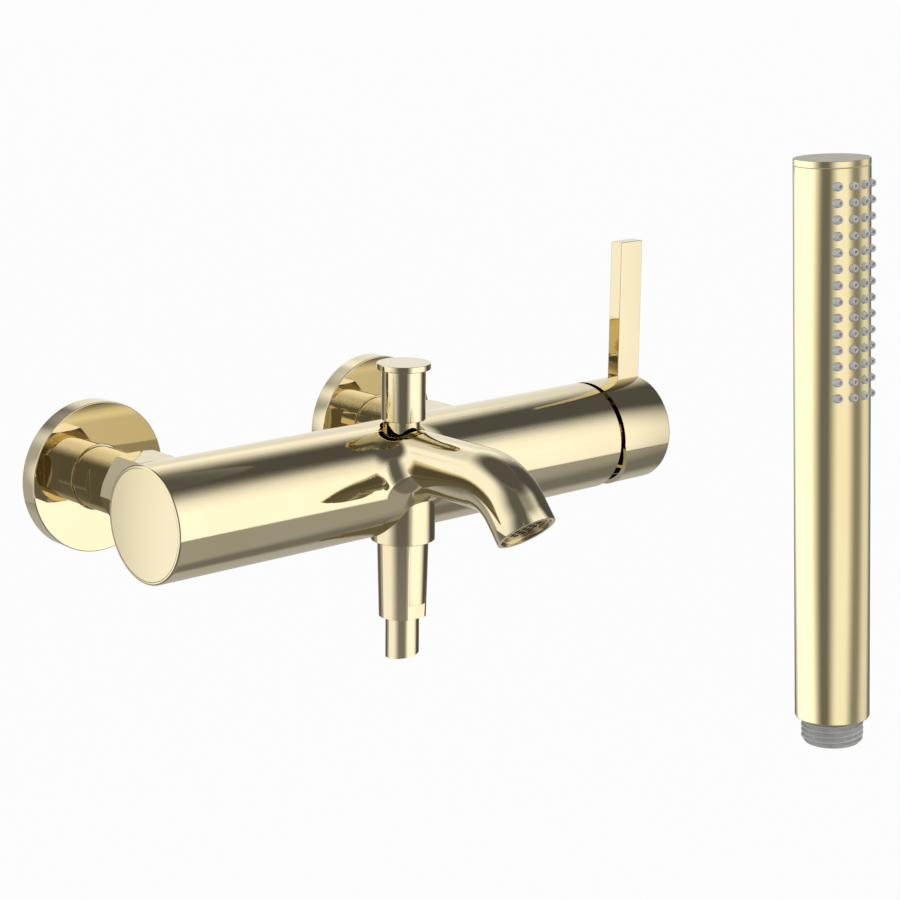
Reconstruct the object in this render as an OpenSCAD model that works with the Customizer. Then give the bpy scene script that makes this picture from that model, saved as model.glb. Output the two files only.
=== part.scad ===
// Wall-mounted bath shower mixer with a loose bar handset.
// X runs along the body, Y goes into the wall, Z is up. The origin lies on the wall plane,
// midway between the two inlets and level with the body's axis.

/* [Body] */
// Diameter of the body tube and of the handle cap
body_d = 47; // [44:0.5:52]
// Distance from the mid plane to the body's closed left end
body_left = 104.3; // [98:0.1:120]
// Distance from the mid plane to the body's open right end
body_right = 133; // [130:0.1:145]
// Distance from the wall to the body's axis
wall_to_axis = 82.3; // [80:0.1:95]
// Rounding of the outer edges at both ends of the drum
edge_round = 0.8; // [0.3:0.1:1.5]
// Width of the body's rim round the disc that closes the left end
plug_rim = 1.3; // [1:0.1:3]
// Thickness of the closing disc
plug_t = 3; // [2:0.5:5]

/* [Inlets] */
// Distance between the two inlets
inlet_spacing = 150; // [140:1:160]
// Diameter of the round wall flanges
flange_d = 63; // [56:1:72]
// Depth of the wall flanges
flange_depth = 8.5; // [7:0.5:12]
// Wall thickness of the flanges
flange_t = 1.5; // [1:0.1:2.5]
// Outer diameter of the wall thread
wall_thread_d = 20.955; // [20:0.005:22]
// Length of the wall thread behind the wall plane
wall_thread_len = 18; // [12:1:25]
// Height of the body's axis above the wall threads
union_offset = 5; // [2:0.5:8]
// Diameter of the union's collar
collar_d = 26.4; // [25:0.1:28]
// Distance from the wall to the end of the collar
collar_end = 43; // [40:0.5:46]
// Distance from the wall to the start of the collar's wrench flats
collar_flat_start = 18.5; // [14:0.5:22]
// Width across the collar's wrench flats
collar_flats = 22.4; // [21:0.1:24]
// Bore of the union
union_bore_d = 15; // [12:0.5:16]
// Width across the union nut's flats
nut_flats = 30; // [29.5:0.1:34]
// Distance from the wall to the union nut's back face
nut_start = 33; // [30:0.5:36]
// Distance from the wall to the union nut's front face
nut_end = 57; // [55:0.5:58]

/* [Spout] */
// Height of the spout's axis above the body's axis
spout_rise = 10.3; // [9.8:0.1:10.8]
// Outer diameter of the spout
spout_d = 25; // [24:0.1:26]
// Wall thickness of the spout
spout_wall = 3; // [2.5:0.1:3.5]
// Distance from the wall to the start of the bend
bend_start = 140.9; // [135:0.1:170]
// Radius of the bend at the spout's axis
bend_r = 24.1; // [20:0.1:40]
// Angle of the bend
bend_angle = 50.6; // [40:0.1:80]
// Straight length after the bend
spout_tip = 10.7; // [10:0.1:20]
// Sideways reach of the flare at the spout's root
flare_side = 15; // [10:0.5:18]
// Downward reach of the flare at the spout's root
flare_under = 5; // [3:0.5:7]

/* [Aerator] */
// Outer diameter of the aerator shell
aerator_d = 21.4; // [20:0.1:21.6]
// Length of the aerator shell
aerator_len = 7; // [5:0.5:8]
// Depth of the aerator's face behind the spout's edge
aerator_recess = 1.2; // [0.5:0.1:2]
// Pitch of the honeycomb cells
cell_pitch = 3.1; // [2.6:0.1:4]

/* [Diverter] */
// Sideways place of the diverter, spout and shower outlet
column_x = 17.3; // [5:0.1:30]
// Distance of the diverter's axis in front of the body's axis
column_forward = 10.4; // [9.5:0.1:11]
// Travel of the diverter knob
diverter_travel = 8; // [6:0.5:9]
// Diameter of the knob's top disc
knob_top_d = 22.3; // [21:0.1:30]
// Thickness of the knob's top disc
knob_top_t = 2.5; // [1.5:0.1:4]
// Diameter of the knob's barrel
knob_d = 18.2; // [17.5:0.1:20]
// Height of the knob's barrel
knob_len = 21; // [19:0.5:26]
// Height of the barrel's lower rim above the body's axis
knob_rim = 26; // [25:0.5:30]
// Diameter of the neck under the knob
neck_d = 13.5; // [12.5:0.1:14]
// Diameter of the recess round the neck
recess_d = 19.4; // [18.8:0.1:21]
// Diameter of the diverter's stem
stem_d = 6; // [5:0.1:6.4]

/* [Shower outlet] */
// Diameter of the outlet boss below the body
boss_d = 26.8; // [25:0.1:30]
// Depth of the boss's lower face below the body's axis
boss_bottom = 24.6; // [24:0.1:30]
// Upper diameter of the hose's cone nut
cone_top_d = 21.5; // [20.5:0.1:25]
// Lower diameter of the cone nut
cone_bottom_d = 19.9; // [18.5:0.1:21]
// Length of the cone nut
cone_len = 32.4; // [24:0.1:40]
// Diameter of the thread between outlet and cone nut
hose_thread_d = 16.66; // [16:0.01:17]
// Diameter of the hose's end sleeve
hose_end_d = 14.2; // [13:0.1:15]
// Length of the end sleeve below the cone nut
hose_end_len = 16.9; // [12:0.1:30]
// Slant of the end sleeve's cut
hose_end_slant = 8; // [0:1:15]
// Direction in which the cut rises, counted from +X
hose_end_slant_to = -19; // [-180:1:180]
// Wall thickness of the end sleeve
hose_end_wall = 1.6; // [1:0.1:2]

/* [Handle] */
// Gap between the body and the handle cap
handle_gap = 2.5; // [2:0.1:4]
// Length of the handle cap
cap_len = 28.8; // [26:0.1:36]
// Wall thickness of the handle cap
cap_wall = 1.8; // [1.5:0.1:3]
// Width of the lever along the body
lever_w = 13.3; // [10:0.1:16]
// Thickness of the lever
lever_t = 6.4; // [6.2:0.1:9]
// Height of the lever's top above the body's axis
lever_top = 85.2; // [60:0.1:110]
// Largest tilt of the lever
tilt_max = 18; // [12:1:18]

/* [Cartridge] */
// Outer diameter of the cartridge
cartridge_d = 35; // [33:0.1:35.4]
// Distance from the body's right end to the chamber's floor
chamber_depth = 48; // [47.5:0.1:50]
// Distance from the chamber's floor to the tilt pin
pin_height = 29; // [28.5:0.1:29.5]
// Distance from the tilt pin to the ball on the stem's foot
stem_arm = 11; // [10.5:0.1:11.2]
// Diameter of the cartridge's ports
port_d = 8; // [6:0.1:8.4]

/* [Handset] */
// Sideways place of the handset
handset_x = 4.7; // [-20:0.1:30]
// Distance of the handset's axis from the wall
handset_y = 323.6; // [300:0.1:360]
// Height of the handset's top above the body's axis
handset_top = 154.7; // [120:0.1:180]
// Outer diameter of the handset
handset_d = 25.2; // [24.5:0.1:28]
// Length of the handset without its thread
handset_len = 189.3; // [160:0.1:220]
// Lean of the loose handset against the upright
handset_lean = 2.75; // [0:0.25:10]
// Direction in which its top leans, counted from +X
handset_lean_to = 129; // [0:1:359]
// Wall thickness of the handset's tube
handset_wall = 1.5; // [1:0.1:1.8]
// Thickness of the end cap's rim
end_cap_t = 2.1; // [1.5:0.1:4]
// Visible length of the handset's thread
handset_thread_len = 9; // [8:0.5:14]
// Number of nozzle rows
nozzle_rows = 14; // [6:1:16]
// Number of nozzle columns
nozzle_columns = 4; // [2:1:4]
// Distance between nozzle rows
nozzle_pitch = 5.3; // [5:0.1:6]
// Distance between nozzle columns, across the way that the nozzles point
nozzle_spread = 4.8; // [4.2:0.1:5]
// Direction in which all the nozzles point, counted from +X
nozzle_facing = 262; // [0:1:359]
// Distance from the handset's top to the first row
nozzle_start = 8; // [8:0.5:20]
// How far the nozzles stand out of the tube
nozzle_out = 1.5; // [0.8:0.1:2]
// Diameter of a nozzle's base
nozzle_d = 3.1; // [2.6:0.1:3.4]

/* [Hidden] */
$fn = 64;
gold = "#e8d9a4";
dull_gold = "#cdb878";
steel = "#b9bbbd";
white_plastic = "#e9e9e4";
grey_plastic = "#8b8b8b";
silicone = "#a5a5aa";
black_rubber = "#26262a";
ceramic = "#f2efe6";
brass = "#c7a458";

// Overlap of pieces that are one solid, and the run of a cutting tool past the face that it opens
eps = 0.01;
cut = 1;
thread_play = 0.05;
run_play = 0.07;
slip_play = 0.2;
face_gap = 0.3;
tip_play = 0.4;

body_r = body_d / 2;
body_len = body_left + body_right;
axis_y = -wall_to_axis;
plug_r = body_r - plug_rim;
plug_spigot_r = 16;
plug_spigot_len = 10;
plug_spigot_wall = 3;

collar_r = collar_d / 2;
wall_thread_r = wall_thread_d / 2;
crank_t = 5;
washer_t = 2;
nipple_flange_t = 3.2;
nipple_flange_r = collar_r - face_gap;
nipple_r = 9.7;
nipple_foot = 10;
union_bore_r = union_bore_d / 2;
nut_bore_r = collar_r + thread_play;
inlet_boss_r = 14;
valve_r = union_bore_r - thread_play;
valve_len = 13;

spout_r = spout_d / 2;
spout_bore_r = spout_r - spout_wall;
spout_root = wall_to_axis + 6;
spout_bore_root = wall_to_axis + column_forward + 16;
tip_step = 0.05;
tip_lap = 0.5;
aerator_r = aerator_d / 2;
aerator_wall = 1.4;
aerator_hole_r = aerator_r - aerator_wall;
aerator_pocket = aerator_len + aerator_recess + washer_t;

column_y = -(wall_to_axis + column_forward);
stem_r = stem_d / 2;
rod_r = stem_r - 0.5;
neck_r = neck_d / 2;
knob_r = knob_d / 2;
recess_r = recess_d / 2;
plate_r = 7.2;
plate_t = 2;
seal_t = 2;
valve_floor = -12;
land_t = 2;
valve_top = valve_floor + 2 * seal_t + plate_t + diverter_travel;
seat_hole_r = 5.2;
chamber_r = plate_r + 0.8;
gallery_bottom = valve_top + land_t;
bonnet_bottom = gallery_bottom + 8.2;
bonnet_r = 9.2;
bonnet_thread_top = bonnet_bottom + 5;
neck_top = knob_rim + diverter_travel + 1;
knob_top = knob_rim + knob_len + knob_top_t;
knob_bore_top = neck_top + 4;
stem_foot = valve_floor + seal_t + plate_t;
gallery_r = 4;
gallery_len = 20;
groove_t = 2;
groove_r = stem_r + 1.6;
knob_top_wall = 2;
spring_r = 4;
spring_wire_r = 0.45;
spring_curls = 6;

boss_r = boss_d / 2;
nipple_thread_top = valve_floor - land_t - 1;
nipple_bore_r = 4.6;
hose_thread_len = 11;
hose_thread_r = hose_thread_d / 2;
cone_top = -boss_bottom - 0.4;
cone_bottom = cone_top - cone_len;
hose_end_r = hose_end_d / 2;
hose_seat = cone_top - hose_thread_len - 1;
hose_flange_t = 2;
hose_flange_r = hose_thread_r - face_gap;
cone_flats = 18;
cone_flats_h = 6;

cartridge_r = cartridge_d / 2;
cartridge_play = 0.1;
chamber_x = body_right - chamber_depth;
seal_squeeze = 0.6;
port_seal_w = 1.6;
base_x = chamber_x + seal_squeeze;
base_t = 5.4;
disc_x = base_x + base_t;
disc_t = 3;
moving_x = disc_x + disc_t + thread_play;
moving_t = 3.4;
carrier_x = moving_x + moving_t + thread_play;
carrier_t = 3.5;
pin_x = chamber_x + pin_height;
ball_x = pin_x - stem_arm;
ball_r = 3.5;
tongue_top = ball_x + 2.5;
tongue_l = 10;
rotor_x = carrier_x + carrier_t + 1;
rotor_len = pin_x + 5 - rotor_x;
housing_bore_r = cartridge_r - 1.7;
lip_t = 2;
rotor_r = housing_bore_r - run_play;
housing_end = rotor_x + rotor_len + 2.2;
moving_r = 11.5;
pocket_wall = 3;
pocket_depth = 2;
slot_w = 9.6;
slot_l = 20;
pin_r = 1.5;
lip_r = 11.5;
retainer_t = 8;
retainer_r = 12;
key_w = 3;
hot_port = [2, 11];
cold_port = [8.5, -7.5];
mixed_port = [-10, -3];
ports = [hot_port, cold_port, mixed_port];
passage_r = port_d / 2 - 0.5;

cap_x = body_right + handle_gap;
cap_end = cap_x + cap_len;
cap_end_t = cap_wall + 0.7;
rim_cut_angle = tilt_max + 1;
rim_cut_top = -1;
hub_r = 8;
hub_x = cap_x + 6;
stem_square = 7;
stem_top_r = 4;
stem_neck_r = 2.4;
stem_eye_r = 4.2;
stem_end = cap_end - cap_wall - 4;
socket_w = stem_square + slip_play;
lever_x = cap_end - lever_w - face_gap;
lever_mid = lever_x + lever_w / 2;
lever_stud_r = 3;
lever_stud_foot = stem_square / 2 + 2;
grub_r = 2.5;
grub_x = cap_x + 12;
grub_len = 6;
grub_socket_r = 1.4;

handset_r = handset_d / 2;
handset_bore_r = handset_r - handset_wall;
handset_bottom = handset_top - handset_len;
handset_mid = handset_top - handset_len / 2;
mat_margin = 3;
mat_t = 1;
spigot_len = nozzle_start - mat_margin - end_cap_t - face_gap;
mat_r = handset_bore_r - thread_play;
core_r = mat_r - mat_t - thread_play;
core_wall = 1.6;
tail_in = 12;
tail_groove_z = handset_bottom + tail_in / 2;
tail_groove_r = handset_bore_r - 1.2;
tail_bore_r = 7;
nozzle_r = nozzle_d / 2;
nozzle_tip_r = nozzle_r - 0.35;
nozzle_hole_r = 0.45;
nozzle_depth = 6;
columns_w = nozzle_spread * (nozzle_columns - 1);
window_w = columns_w + 2 * nozzle_hole_r;

// Placing helpers

// Puts a piece's own Z along the body, at a distance x from the mid plane
module along_body(x) {
  translate([x, axis_y, 0]) rotate([0, 90, 0]) children();
}

// Puts a piece's own Z along an inlet's axis, counted outwards from the wall
module at_inlet(side) {
  translate([side * inlet_spacing / 2, 0, 0]) rotate([90, 0, 0]) children();
}

// Puts a piece on the vertical axis of diverter and shower outlet
module at_column(z = 0) {
  translate([column_x, column_y, z]) children();
}

// Puts a piece on the spout's bend, whose plane is upright
module at_bend(angle = 0) {
  translate([column_x, -bend_start, spout_rise - bend_r])
    rotate([0, 90, 0]) rotate([0, 0, 180 + angle]) children();
}

// Puts a piece's own Z along the water's way out of the spout, from the tip's edge
module at_spout_mouth() {
  at_bend(bend_angle) translate([bend_r, spout_tip, 0]) rotate([-90, 0, 0]) children();
}

// Puts a piece on the handset's axis, which leans about the middle of the tube
module at_handset(z = 0) {
  translate([handset_x, -handset_y, handset_mid])
    rotate([0, 0, handset_lean_to]) rotate([0, handset_lean, 0]) rotate([0, 0, -handset_lean_to])
      translate([0, 0, z - handset_mid]) children();
}

module tube(r_out, r_in, h) {
  difference() {
    cylinder(r = r_out, h = h);
    translate([0, 0, -cut]) cylinder(r = r_in, h = h + 2 * cut);
  }
}

// A cylinder whose outer edges are rounded, at its foot, its top or both
module rounded_drum(r, h, foot, top) {
  arc = [for (a = [0 : 22.5 : 90]) a];
  low = foot > 0 ? [for (a = arc) [r - foot + foot * sin(a), foot - foot * cos(a)]] : [[r, 0]];
  high = top > 0 ? [for (a = arc) [r - top + top * cos(a), h - top + top * sin(a)]] : [[r, h]];
  rotate_extrude() polygon(concat([[0, 0]], low, high, [[0, h]]));
}

// Body casting with spout, inlet bosses and outlet boss

// The flare widens the spout towards its root, which lies inside the tube, along a quarter arc
flare_len = 20;
flare_rings = 9;
flare_sides = 40;
flare_root = wall_to_axis + 13;
function flare_share(s) = 1 - sqrt(1 - pow(1 - s / flare_len, 2));

// One ring of the flare, a hair inside the spout's own surface where both run together
function flare_ring(k) =
  let (s = flare_len * k / (flare_rings - 1),
       sink = 0.15,
       half_w = spout_r - sink + flare_side * flare_share(s),
       half_h = spout_r - sink + flare_under * flare_share(s),
       mid = spout_rise + spout_r - 2 * sink - half_h)
  [for (i = [0 : flare_sides - 1])
    [half_w * sin(360 * i / flare_sides), -flare_root - s, mid + half_h * cos(360 * i / flare_sides)]];

module spout_flare() {
  rings = [for (k = [0 : flare_rings - 1]) each flare_ring(k)];
  sides = [for (k = [0 : flare_rings - 2]) for (i = [0 : flare_sides - 1])
    let (j = (i + 1) % flare_sides, a = k * flare_sides, b = a + flare_sides)
    each [[a + i, a + j, b + i], [a + j, b + j, b + i]]];
  root_face = [for (i = [flare_sides - 1 : -1 : 0]) i];
  tip_face = [for (i = [0 : flare_sides - 1]) (flare_rings - 1) * flare_sides + i];
  translate([column_x, 0, 0]) polyhedron(points = rings, faces = concat(sides, [root_face, tip_face]));
}

// The spout's path as a solid rod of radius r, whose tip is a hair wider and laps over the bend
module spout_rod(r, start) {
  translate([column_x, -bend_start, spout_rise]) rotate([-90, 0, 0]) cylinder(r = r, h = bend_start - start);
  at_bend() rotate_extrude(angle = bend_angle) translate([bend_r, 0]) circle(r = r);
  at_bend(bend_angle) translate([bend_r, -tip_lap, 0])
    rotate([-90, 0, 0]) cylinder(r = r + tip_step, h = spout_tip + tip_lap);
}

module body_outside() {
  along_body(-body_left) rounded_drum(body_r, body_len, edge_round, 0);
  for (side = [-1, 1])
    at_inlet(side) translate([0, 0, nut_end + face_gap]) cylinder(r = inlet_boss_r, h = wall_to_axis - nut_end);
  at_column(-boss_bottom) cylinder(r = boss_r, h = boss_bottom);
  spout_flare();
  spout_rod(spout_r, spout_root);
}

// The bore of an inlet, from the union's collar as far as the passage to a port of the cartridge
module inlet_bore(side, port) {
  at_inlet(side) translate([0, 0, collar_end]) {
    cylinder(r = nipple_r + thread_play, h = nut_end + nipple_foot - collar_end);
    cylinder(r = union_bore_r, h = wall_to_axis - port[0] + passage_r - collar_end);
  }
}

// A passage along the body, from a distance x from the mid plane to a port of the cartridge
module passage(port, x) {
  translate([x, axis_y + port[0], port[1]])
    rotate([0, 90, 0]) cylinder(r = passage_r, h = chamber_x + cut - x);
}

// Waterways: inlets, passages to and from the cartridge, and the way to the spout
module body_waterways() {
  inlet_bore(-1, hot_port);
  inlet_bore(1, cold_port);
  passage(hot_port, -inlet_spacing / 2);
  passage(cold_port, inlet_spacing / 2);
  passage(mixed_port, column_x + chamber_r / 2);
  at_column(gallery_bottom + gallery_r)
    rotate([90, 0, 0]) cylinder(r = gallery_r - 2 * thread_play, h = gallery_len);
  spout_rod(spout_bore_r, spout_bore_root);
  at_spout_mouth() translate([0, 0, -aerator_pocket])
    cylinder(r = aerator_r + thread_play, h = aerator_pocket + cut);
}

module mixer_body() {
  color(gold)
  difference() {
    body_outside();
    along_body(-body_left - cut) cylinder(r = plug_r + thread_play, h = plug_t + cut);
    along_body(-body_left) cylinder(r = plug_spigot_r + thread_play, h = plug_t + plug_spigot_len);
    along_body(chamber_x) cylinder(r = cartridge_r + cartridge_play, h = chamber_depth + cut);
    body_waterways();
    at_column(valve_floor) cylinder(r = chamber_r, h = valve_top - valve_floor);
    at_column(nipple_thread_top) cylinder(r = seat_hole_r, h = bonnet_bottom - nipple_thread_top);
    at_column(gallery_bottom) cylinder(r = neck_r, h = bonnet_bottom - gallery_bottom + eps);
    at_column(bonnet_bottom) cylinder(r = bonnet_r + thread_play, h = body_r);
    at_column(bonnet_thread_top) cylinder(r = recess_r, h = body_r);
    at_column(-boss_bottom - cut)
      cylinder(r = bonnet_r + thread_play, h = boss_bottom + cut + nipple_thread_top);
  }
}

module end_plug() {
  color(gold)
  along_body(-body_left) {
    rounded_drum(plug_r, plug_t, 0.2, 0);
    difference() {
      cylinder(r = plug_spigot_r, h = plug_t + plug_spigot_len - face_gap);
      translate([0, 0, plug_t]) cylinder(r = plug_spigot_r - plug_spigot_wall, h = plug_spigot_len);
    }
  }
}

// Wall side

module wall_flange(side) {
  color(gold)
  at_inlet(side) difference() {
    rounded_drum(flange_d / 2, flange_depth, 0, 0.5);
    translate([0, 0, -cut]) cylinder(r = flange_d / 2 - flange_t, h = flange_depth - flange_t + cut);
    cylinder(r = collar_r + face_gap, h = flange_depth + cut);
  }
}

// The wall thread lies below the collar's axis, and a crank under the flange joins them
module s_union(side) {
  crank_r = (collar_r + wall_thread_r + union_offset) / 2;
  crank_y = (collar_r - wall_thread_r - union_offset) / 2;
  color(gold)
  at_inlet(side) difference() {
    union() {
      translate([0, -union_offset, -wall_thread_len]) cylinder(r = wall_thread_r, h = wall_thread_len + eps);
      translate([0, crank_y, 0]) cylinder(r = crank_r, h = crank_t);
      cylinder(r = collar_r, h = collar_end);
    }
    for (s = [-1, 1])
      translate([s * (collar_flats + collar_d) / 2, 0, (collar_flat_start + nut_start) / 2])
        cube([collar_d, collar_d, nut_start - collar_flat_start], center = true);
    translate([0, -union_offset, -wall_thread_len - cut])
      cylinder(r = union_bore_r, h = wall_thread_len + crank_t);
    translate([0, 0, cut]) cylinder(r = union_bore_r, h = collar_end);
  }
}

module union_nut(side) {
  h = nut_end - nut_start;
  corner_r = nut_flats / 2 / cos(30);
  chamfer = 2;
  shoulder = collar_end + washer_t + nipple_flange_t + slip_play;
  color(gold)
  at_inlet(side) translate([0, 0, nut_start]) difference() {
    intersection() {
      rotate(30) cylinder(r = corner_r, h = h, $fn = 6);
      cylinder(r1 = corner_r - chamfer, r2 = corner_r - chamfer + h, h = h);
      cylinder(r1 = corner_r - chamfer + h, r2 = corner_r - chamfer, h = h);
    }
    translate([0, 0, -cut]) cylinder(r = nut_bore_r, h = shoulder - nut_start + cut);
    cylinder(r = nipple_r + slip_play, h = h + cut);
  }
}

module union_washer(side) {
  color(black_rubber)
  at_inlet(side) translate([0, 0, collar_end]) tube(nipple_flange_r, union_bore_r, washer_t);
}

module inlet_nipple(side) {
  start = collar_end + washer_t;
  color(brass)
  at_inlet(side) difference() {
    union() {
      translate([0, 0, start]) cylinder(r = nipple_flange_r, h = nipple_flange_t);
      translate([0, 0, start]) cylinder(r = nipple_r, h = nut_end + nipple_foot - start);
    }
    cylinder(r = union_bore_r, h = wall_to_axis);
  }
}

// Non-return valve: a ring, a cross web and a poppet on its stem
module check_valve(side) {
  ring_t = 1.4;
  web_w = 1.2;
  web_z = 4;
  stem_len = 7;
  poppet_h = 2.5;
  valve_stem_r = 1.3;
  poppet_r = 4.4;
  color(white_plastic)
  at_inlet(side) translate([0, 0, collar_end + washer_t + nipple_flange_t]) {
    tube(valve_r, valve_r - ring_t, valve_len);
    for (a = [0, 90])
      rotate(a) translate([0, 0, web_z + web_w / 2])
        cube([2 * valve_r - ring_t, web_w, web_w], center = true);
    translate([0, 0, web_z]) cylinder(r = valve_stem_r, h = stem_len);
    translate([0, 0, web_z + stem_len - poppet_h / 2]) cylinder(r1 = valve_stem_r, r2 = poppet_r, h = poppet_h);
  }
}

// Cartridge

module port_holes(r, h) {
  for (p = ports)
    translate([-p[1], p[0], -cut]) cylinder(r = r, h = h + 2 * cut);
}

module cartridge_base() {
  color(white_plastic)
  along_body(base_x) difference() {
    cylinder(r = cartridge_r, h = base_t);
    port_holes(port_d / 2, base_t);
    for (p = ports)
      translate([-p[1], p[0], -cut])
        cylinder(r = port_d / 2 + port_seal_w + thread_play, h = cut + seal_squeeze);
  }
}

module cartridge_seals() {
  color(black_rubber)
  along_body(chamber_x)
    for (p = ports)
      translate([-p[1], p[0], 0])
        tube(port_d / 2 + port_seal_w, port_d / 2 + 2 * thread_play, 2 * seal_squeeze);
}

module cartridge_housing() {
  h = housing_end - disc_x;
  color(white_plastic)
  along_body(disc_x) difference() {
    cylinder(r = cartridge_r, h = h);
    translate([0, 0, -cut]) cylinder(r = housing_bore_r, h = h - lip_t + cut);
    cylinder(r = lip_r, h = h + cut);
  }
}

module fixed_disc() {
  color(ceramic)
  along_body(disc_x) difference() {
    cylinder(r = housing_bore_r - 2 * thread_play, h = disc_t);
    port_holes(passage_r - face_gap, disc_t);
  }
}

// The moving disc's blind pocket joins the ports below it
module moving_disc() {
  color(ceramic)
  along_body(moving_x) difference() {
    cylinder(r = moving_r, h = moving_t);
    translate([0, 0, -cut]) cylinder(r = moving_r - pocket_wall, h = pocket_depth + cut);
  }
}

module disc_carrier() {
  color(white_plastic)
  along_body(carrier_x) difference() {
    union() {
      cylinder(r = moving_r, h = carrier_t);
      translate([-tongue_l / 2, face_gap - slot_w / 2, carrier_t - eps])
        cube([tongue_l, slot_w - 2 * face_gap, tongue_top - carrier_x - carrier_t]);
    }
    translate([0, 0, ball_x - carrier_x - ball_r - tip_play])
      cylinder(r = ball_r + tip_play, h = tongue_top - carrier_x);
  }
}

module cartridge_rotor() {
  color(white_plastic)
  along_body(rotor_x) difference() {
    cylinder(r = rotor_r, h = rotor_len);
    translate([-slot_l / 2, -slot_w / 2, -cut]) cube([slot_l, slot_w, rotor_len + 2 * cut]);
    translate([0, 0, pin_x - rotor_x]) rotate([90, 0, 0]) cylinder(r = pin_r, h = 2 * rotor_r, center = true);
  }
}

module tilt_pin() {
  color(steel)
  along_body(pin_x) rotate([90, 0, 0]) cylinder(r = pin_r, h = 2 * (rotor_r - pin_r), center = true);
}

module retaining_nut() {
  color(brass)
  along_body(housing_end) difference() {
    cylinder(r = cartridge_r, h = retainer_t);
    translate([0, 0, -cut]) cylinder(r = retainer_r, h = retainer_t + 2 * cut);
    for (a = [0 : 60 : 300])
      rotate(a) translate([retainer_r - cut, -key_w / 2, retainer_t - key_w])
        cube([key_w + cut, key_w, key_w + cut]);
  }
}

// Handle

// The cap's lower rim is cut back at an angle, so that the tilted handle clears the body
module handle_cap() {
  socket_len = stem_end - hub_x + cut;
  color(gold)
  difference() {
    union() {
      difference() {
        along_body(cap_x) rounded_drum(body_r, cap_len, 0, edge_round);
        along_body(cap_x - cut) cylinder(r = body_r - cap_wall, h = cap_len - cap_end_t + cut);
      }
      along_body(hub_x) cylinder(r = hub_r, h = cap_end - cap_wall - hub_x);
    }
    translate([cap_x, axis_y, rim_cut_top]) rotate([0, -rim_cut_angle, 0])
      translate([-body_d, -body_d, -2 * body_d]) cube([body_d, 2 * body_d, 2 * body_d]);
    along_body(hub_x - cut) translate([0, 0, socket_len / 2])
      cube([socket_w, socket_w, socket_len], center = true);
    translate([lever_mid, axis_y, lever_stud_foot - cut])
      cylinder(r = lever_stud_r + thread_play, h = body_d);
    translate([grub_x, axis_y, -body_d]) cylinder(r = grub_r + thread_play, h = body_d);
  }
}

// A flat bar that stands on the cap's round back, with a stud down into its hub
module lever() {
  seat = body_r - edge_round;
  color(gold)
  difference() {
    union() {
      translate([lever_x, axis_y - lever_t / 2, seat]) cube([lever_w, lever_t, lever_top - seat]);
      translate([lever_mid, axis_y, lever_stud_foot]) cylinder(r = lever_stud_r, h = body_r);
    }
    difference() {
      along_body(cap_x) cylinder(r = body_r, h = cap_len + cut);
      translate([lever_mid, axis_y, 0]) cylinder(r = lever_stud_r, h = body_d);
    }
  }
}

module handle_stem() {
  square_len = stem_end - hub_x + cut;
  color(steel)
  difference() {
    union() {
      along_body(ball_x) sphere(r = ball_r);
      along_body(ball_x) cylinder(r = stem_neck_r, h = stem_arm);
      along_body(pin_x) rotate([90, 0, 0])
        cylinder(r = stem_eye_r, h = slot_w - 2 * face_gap, center = true);
      along_body(pin_x) cylinder(r = stem_top_r, h = hub_x - pin_x - cut);
      along_body(hub_x - 2 * cut) translate([0, 0, square_len / 2])
        cube([stem_square, stem_square, square_len], center = true);
    }
    along_body(pin_x) rotate([90, 0, 0]) cylinder(r = pin_r + thread_play, h = slot_w, center = true);
  }
}

module grub_screw() {
  color(steel)
  translate([grub_x, axis_y, -stem_square / 2 - grub_len]) difference() {
    cylinder(r = grub_r, h = grub_len);
    translate([0, 0, -cut]) cylinder(r = grub_socket_r, h = grub_len / 2 + cut, $fn = 6);
  }
}

// Diverter

module diverter_bonnet() {
  color(gold)
  at_column() difference() {
    union() {
      translate([0, 0, bonnet_bottom])
        cylinder(r = bonnet_r, h = bonnet_thread_top - bonnet_bottom - slip_play);
      translate([0, 0, bonnet_bottom]) cylinder(r = neck_r, h = neck_top - bonnet_bottom);
    }
    translate([0, 0, bonnet_bottom - cut]) cylinder(r = stem_r + run_play, h = neck_top);
    translate([0, 0, bonnet_bottom + groove_t / 2]) cylinder(r = groove_r, h = groove_t);
  }
}

module bonnet_seal() {
  color(black_rubber)
  at_column(bonnet_bottom + groove_t / 2 + thread_play)
    tube(groove_r - thread_play, stem_r + run_play, groove_t - 2 * thread_play);
}

module diverter_knob() {
  color(gold)
  at_column() difference() {
    union() {
      translate([0, 0, knob_rim]) cylinder(r = knob_r, h = knob_len);
      translate([0, 0, knob_rim + knob_len]) rounded_drum(knob_top_d / 2, knob_top_t, 0.3, 0.3);
    }
    translate([0, 0, knob_rim - cut]) cylinder(r = neck_r + run_play, h = knob_bore_top - knob_rim + cut);
    translate([0, 0, knob_rim]) cylinder(r = rod_r + thread_play, h = knob_top - knob_rim - knob_top_wall);
  }
}

module diverter_stem() {
  rod_foot = valve_floor - cut;
  color(steel)
  at_column() {
    translate([0, 0, stem_foot]) cylinder(r = stem_r, h = knob_bore_top - stem_foot);
    translate([0, 0, rod_foot]) cylinder(r = rod_r, h = knob_top - knob_top_wall - face_gap - rod_foot);
  }
}

module diverter_plate() {
  color(brass)
  at_column(valve_floor + seal_t) tube(plate_r, rod_r + thread_play, plate_t);
}

// The two seal rings close the shower way at rest and the spout way when the knob is up
module diverter_seals() {
  color(black_rubber)
  at_column() {
    translate([0, 0, valve_floor]) tube(plate_r - thread_play, rod_r + thread_play, seal_t);
    translate([0, 0, stem_foot]) tube(plate_r - thread_play, spring_r + 2 * spring_wire_r, seal_t);
  }
}

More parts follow.
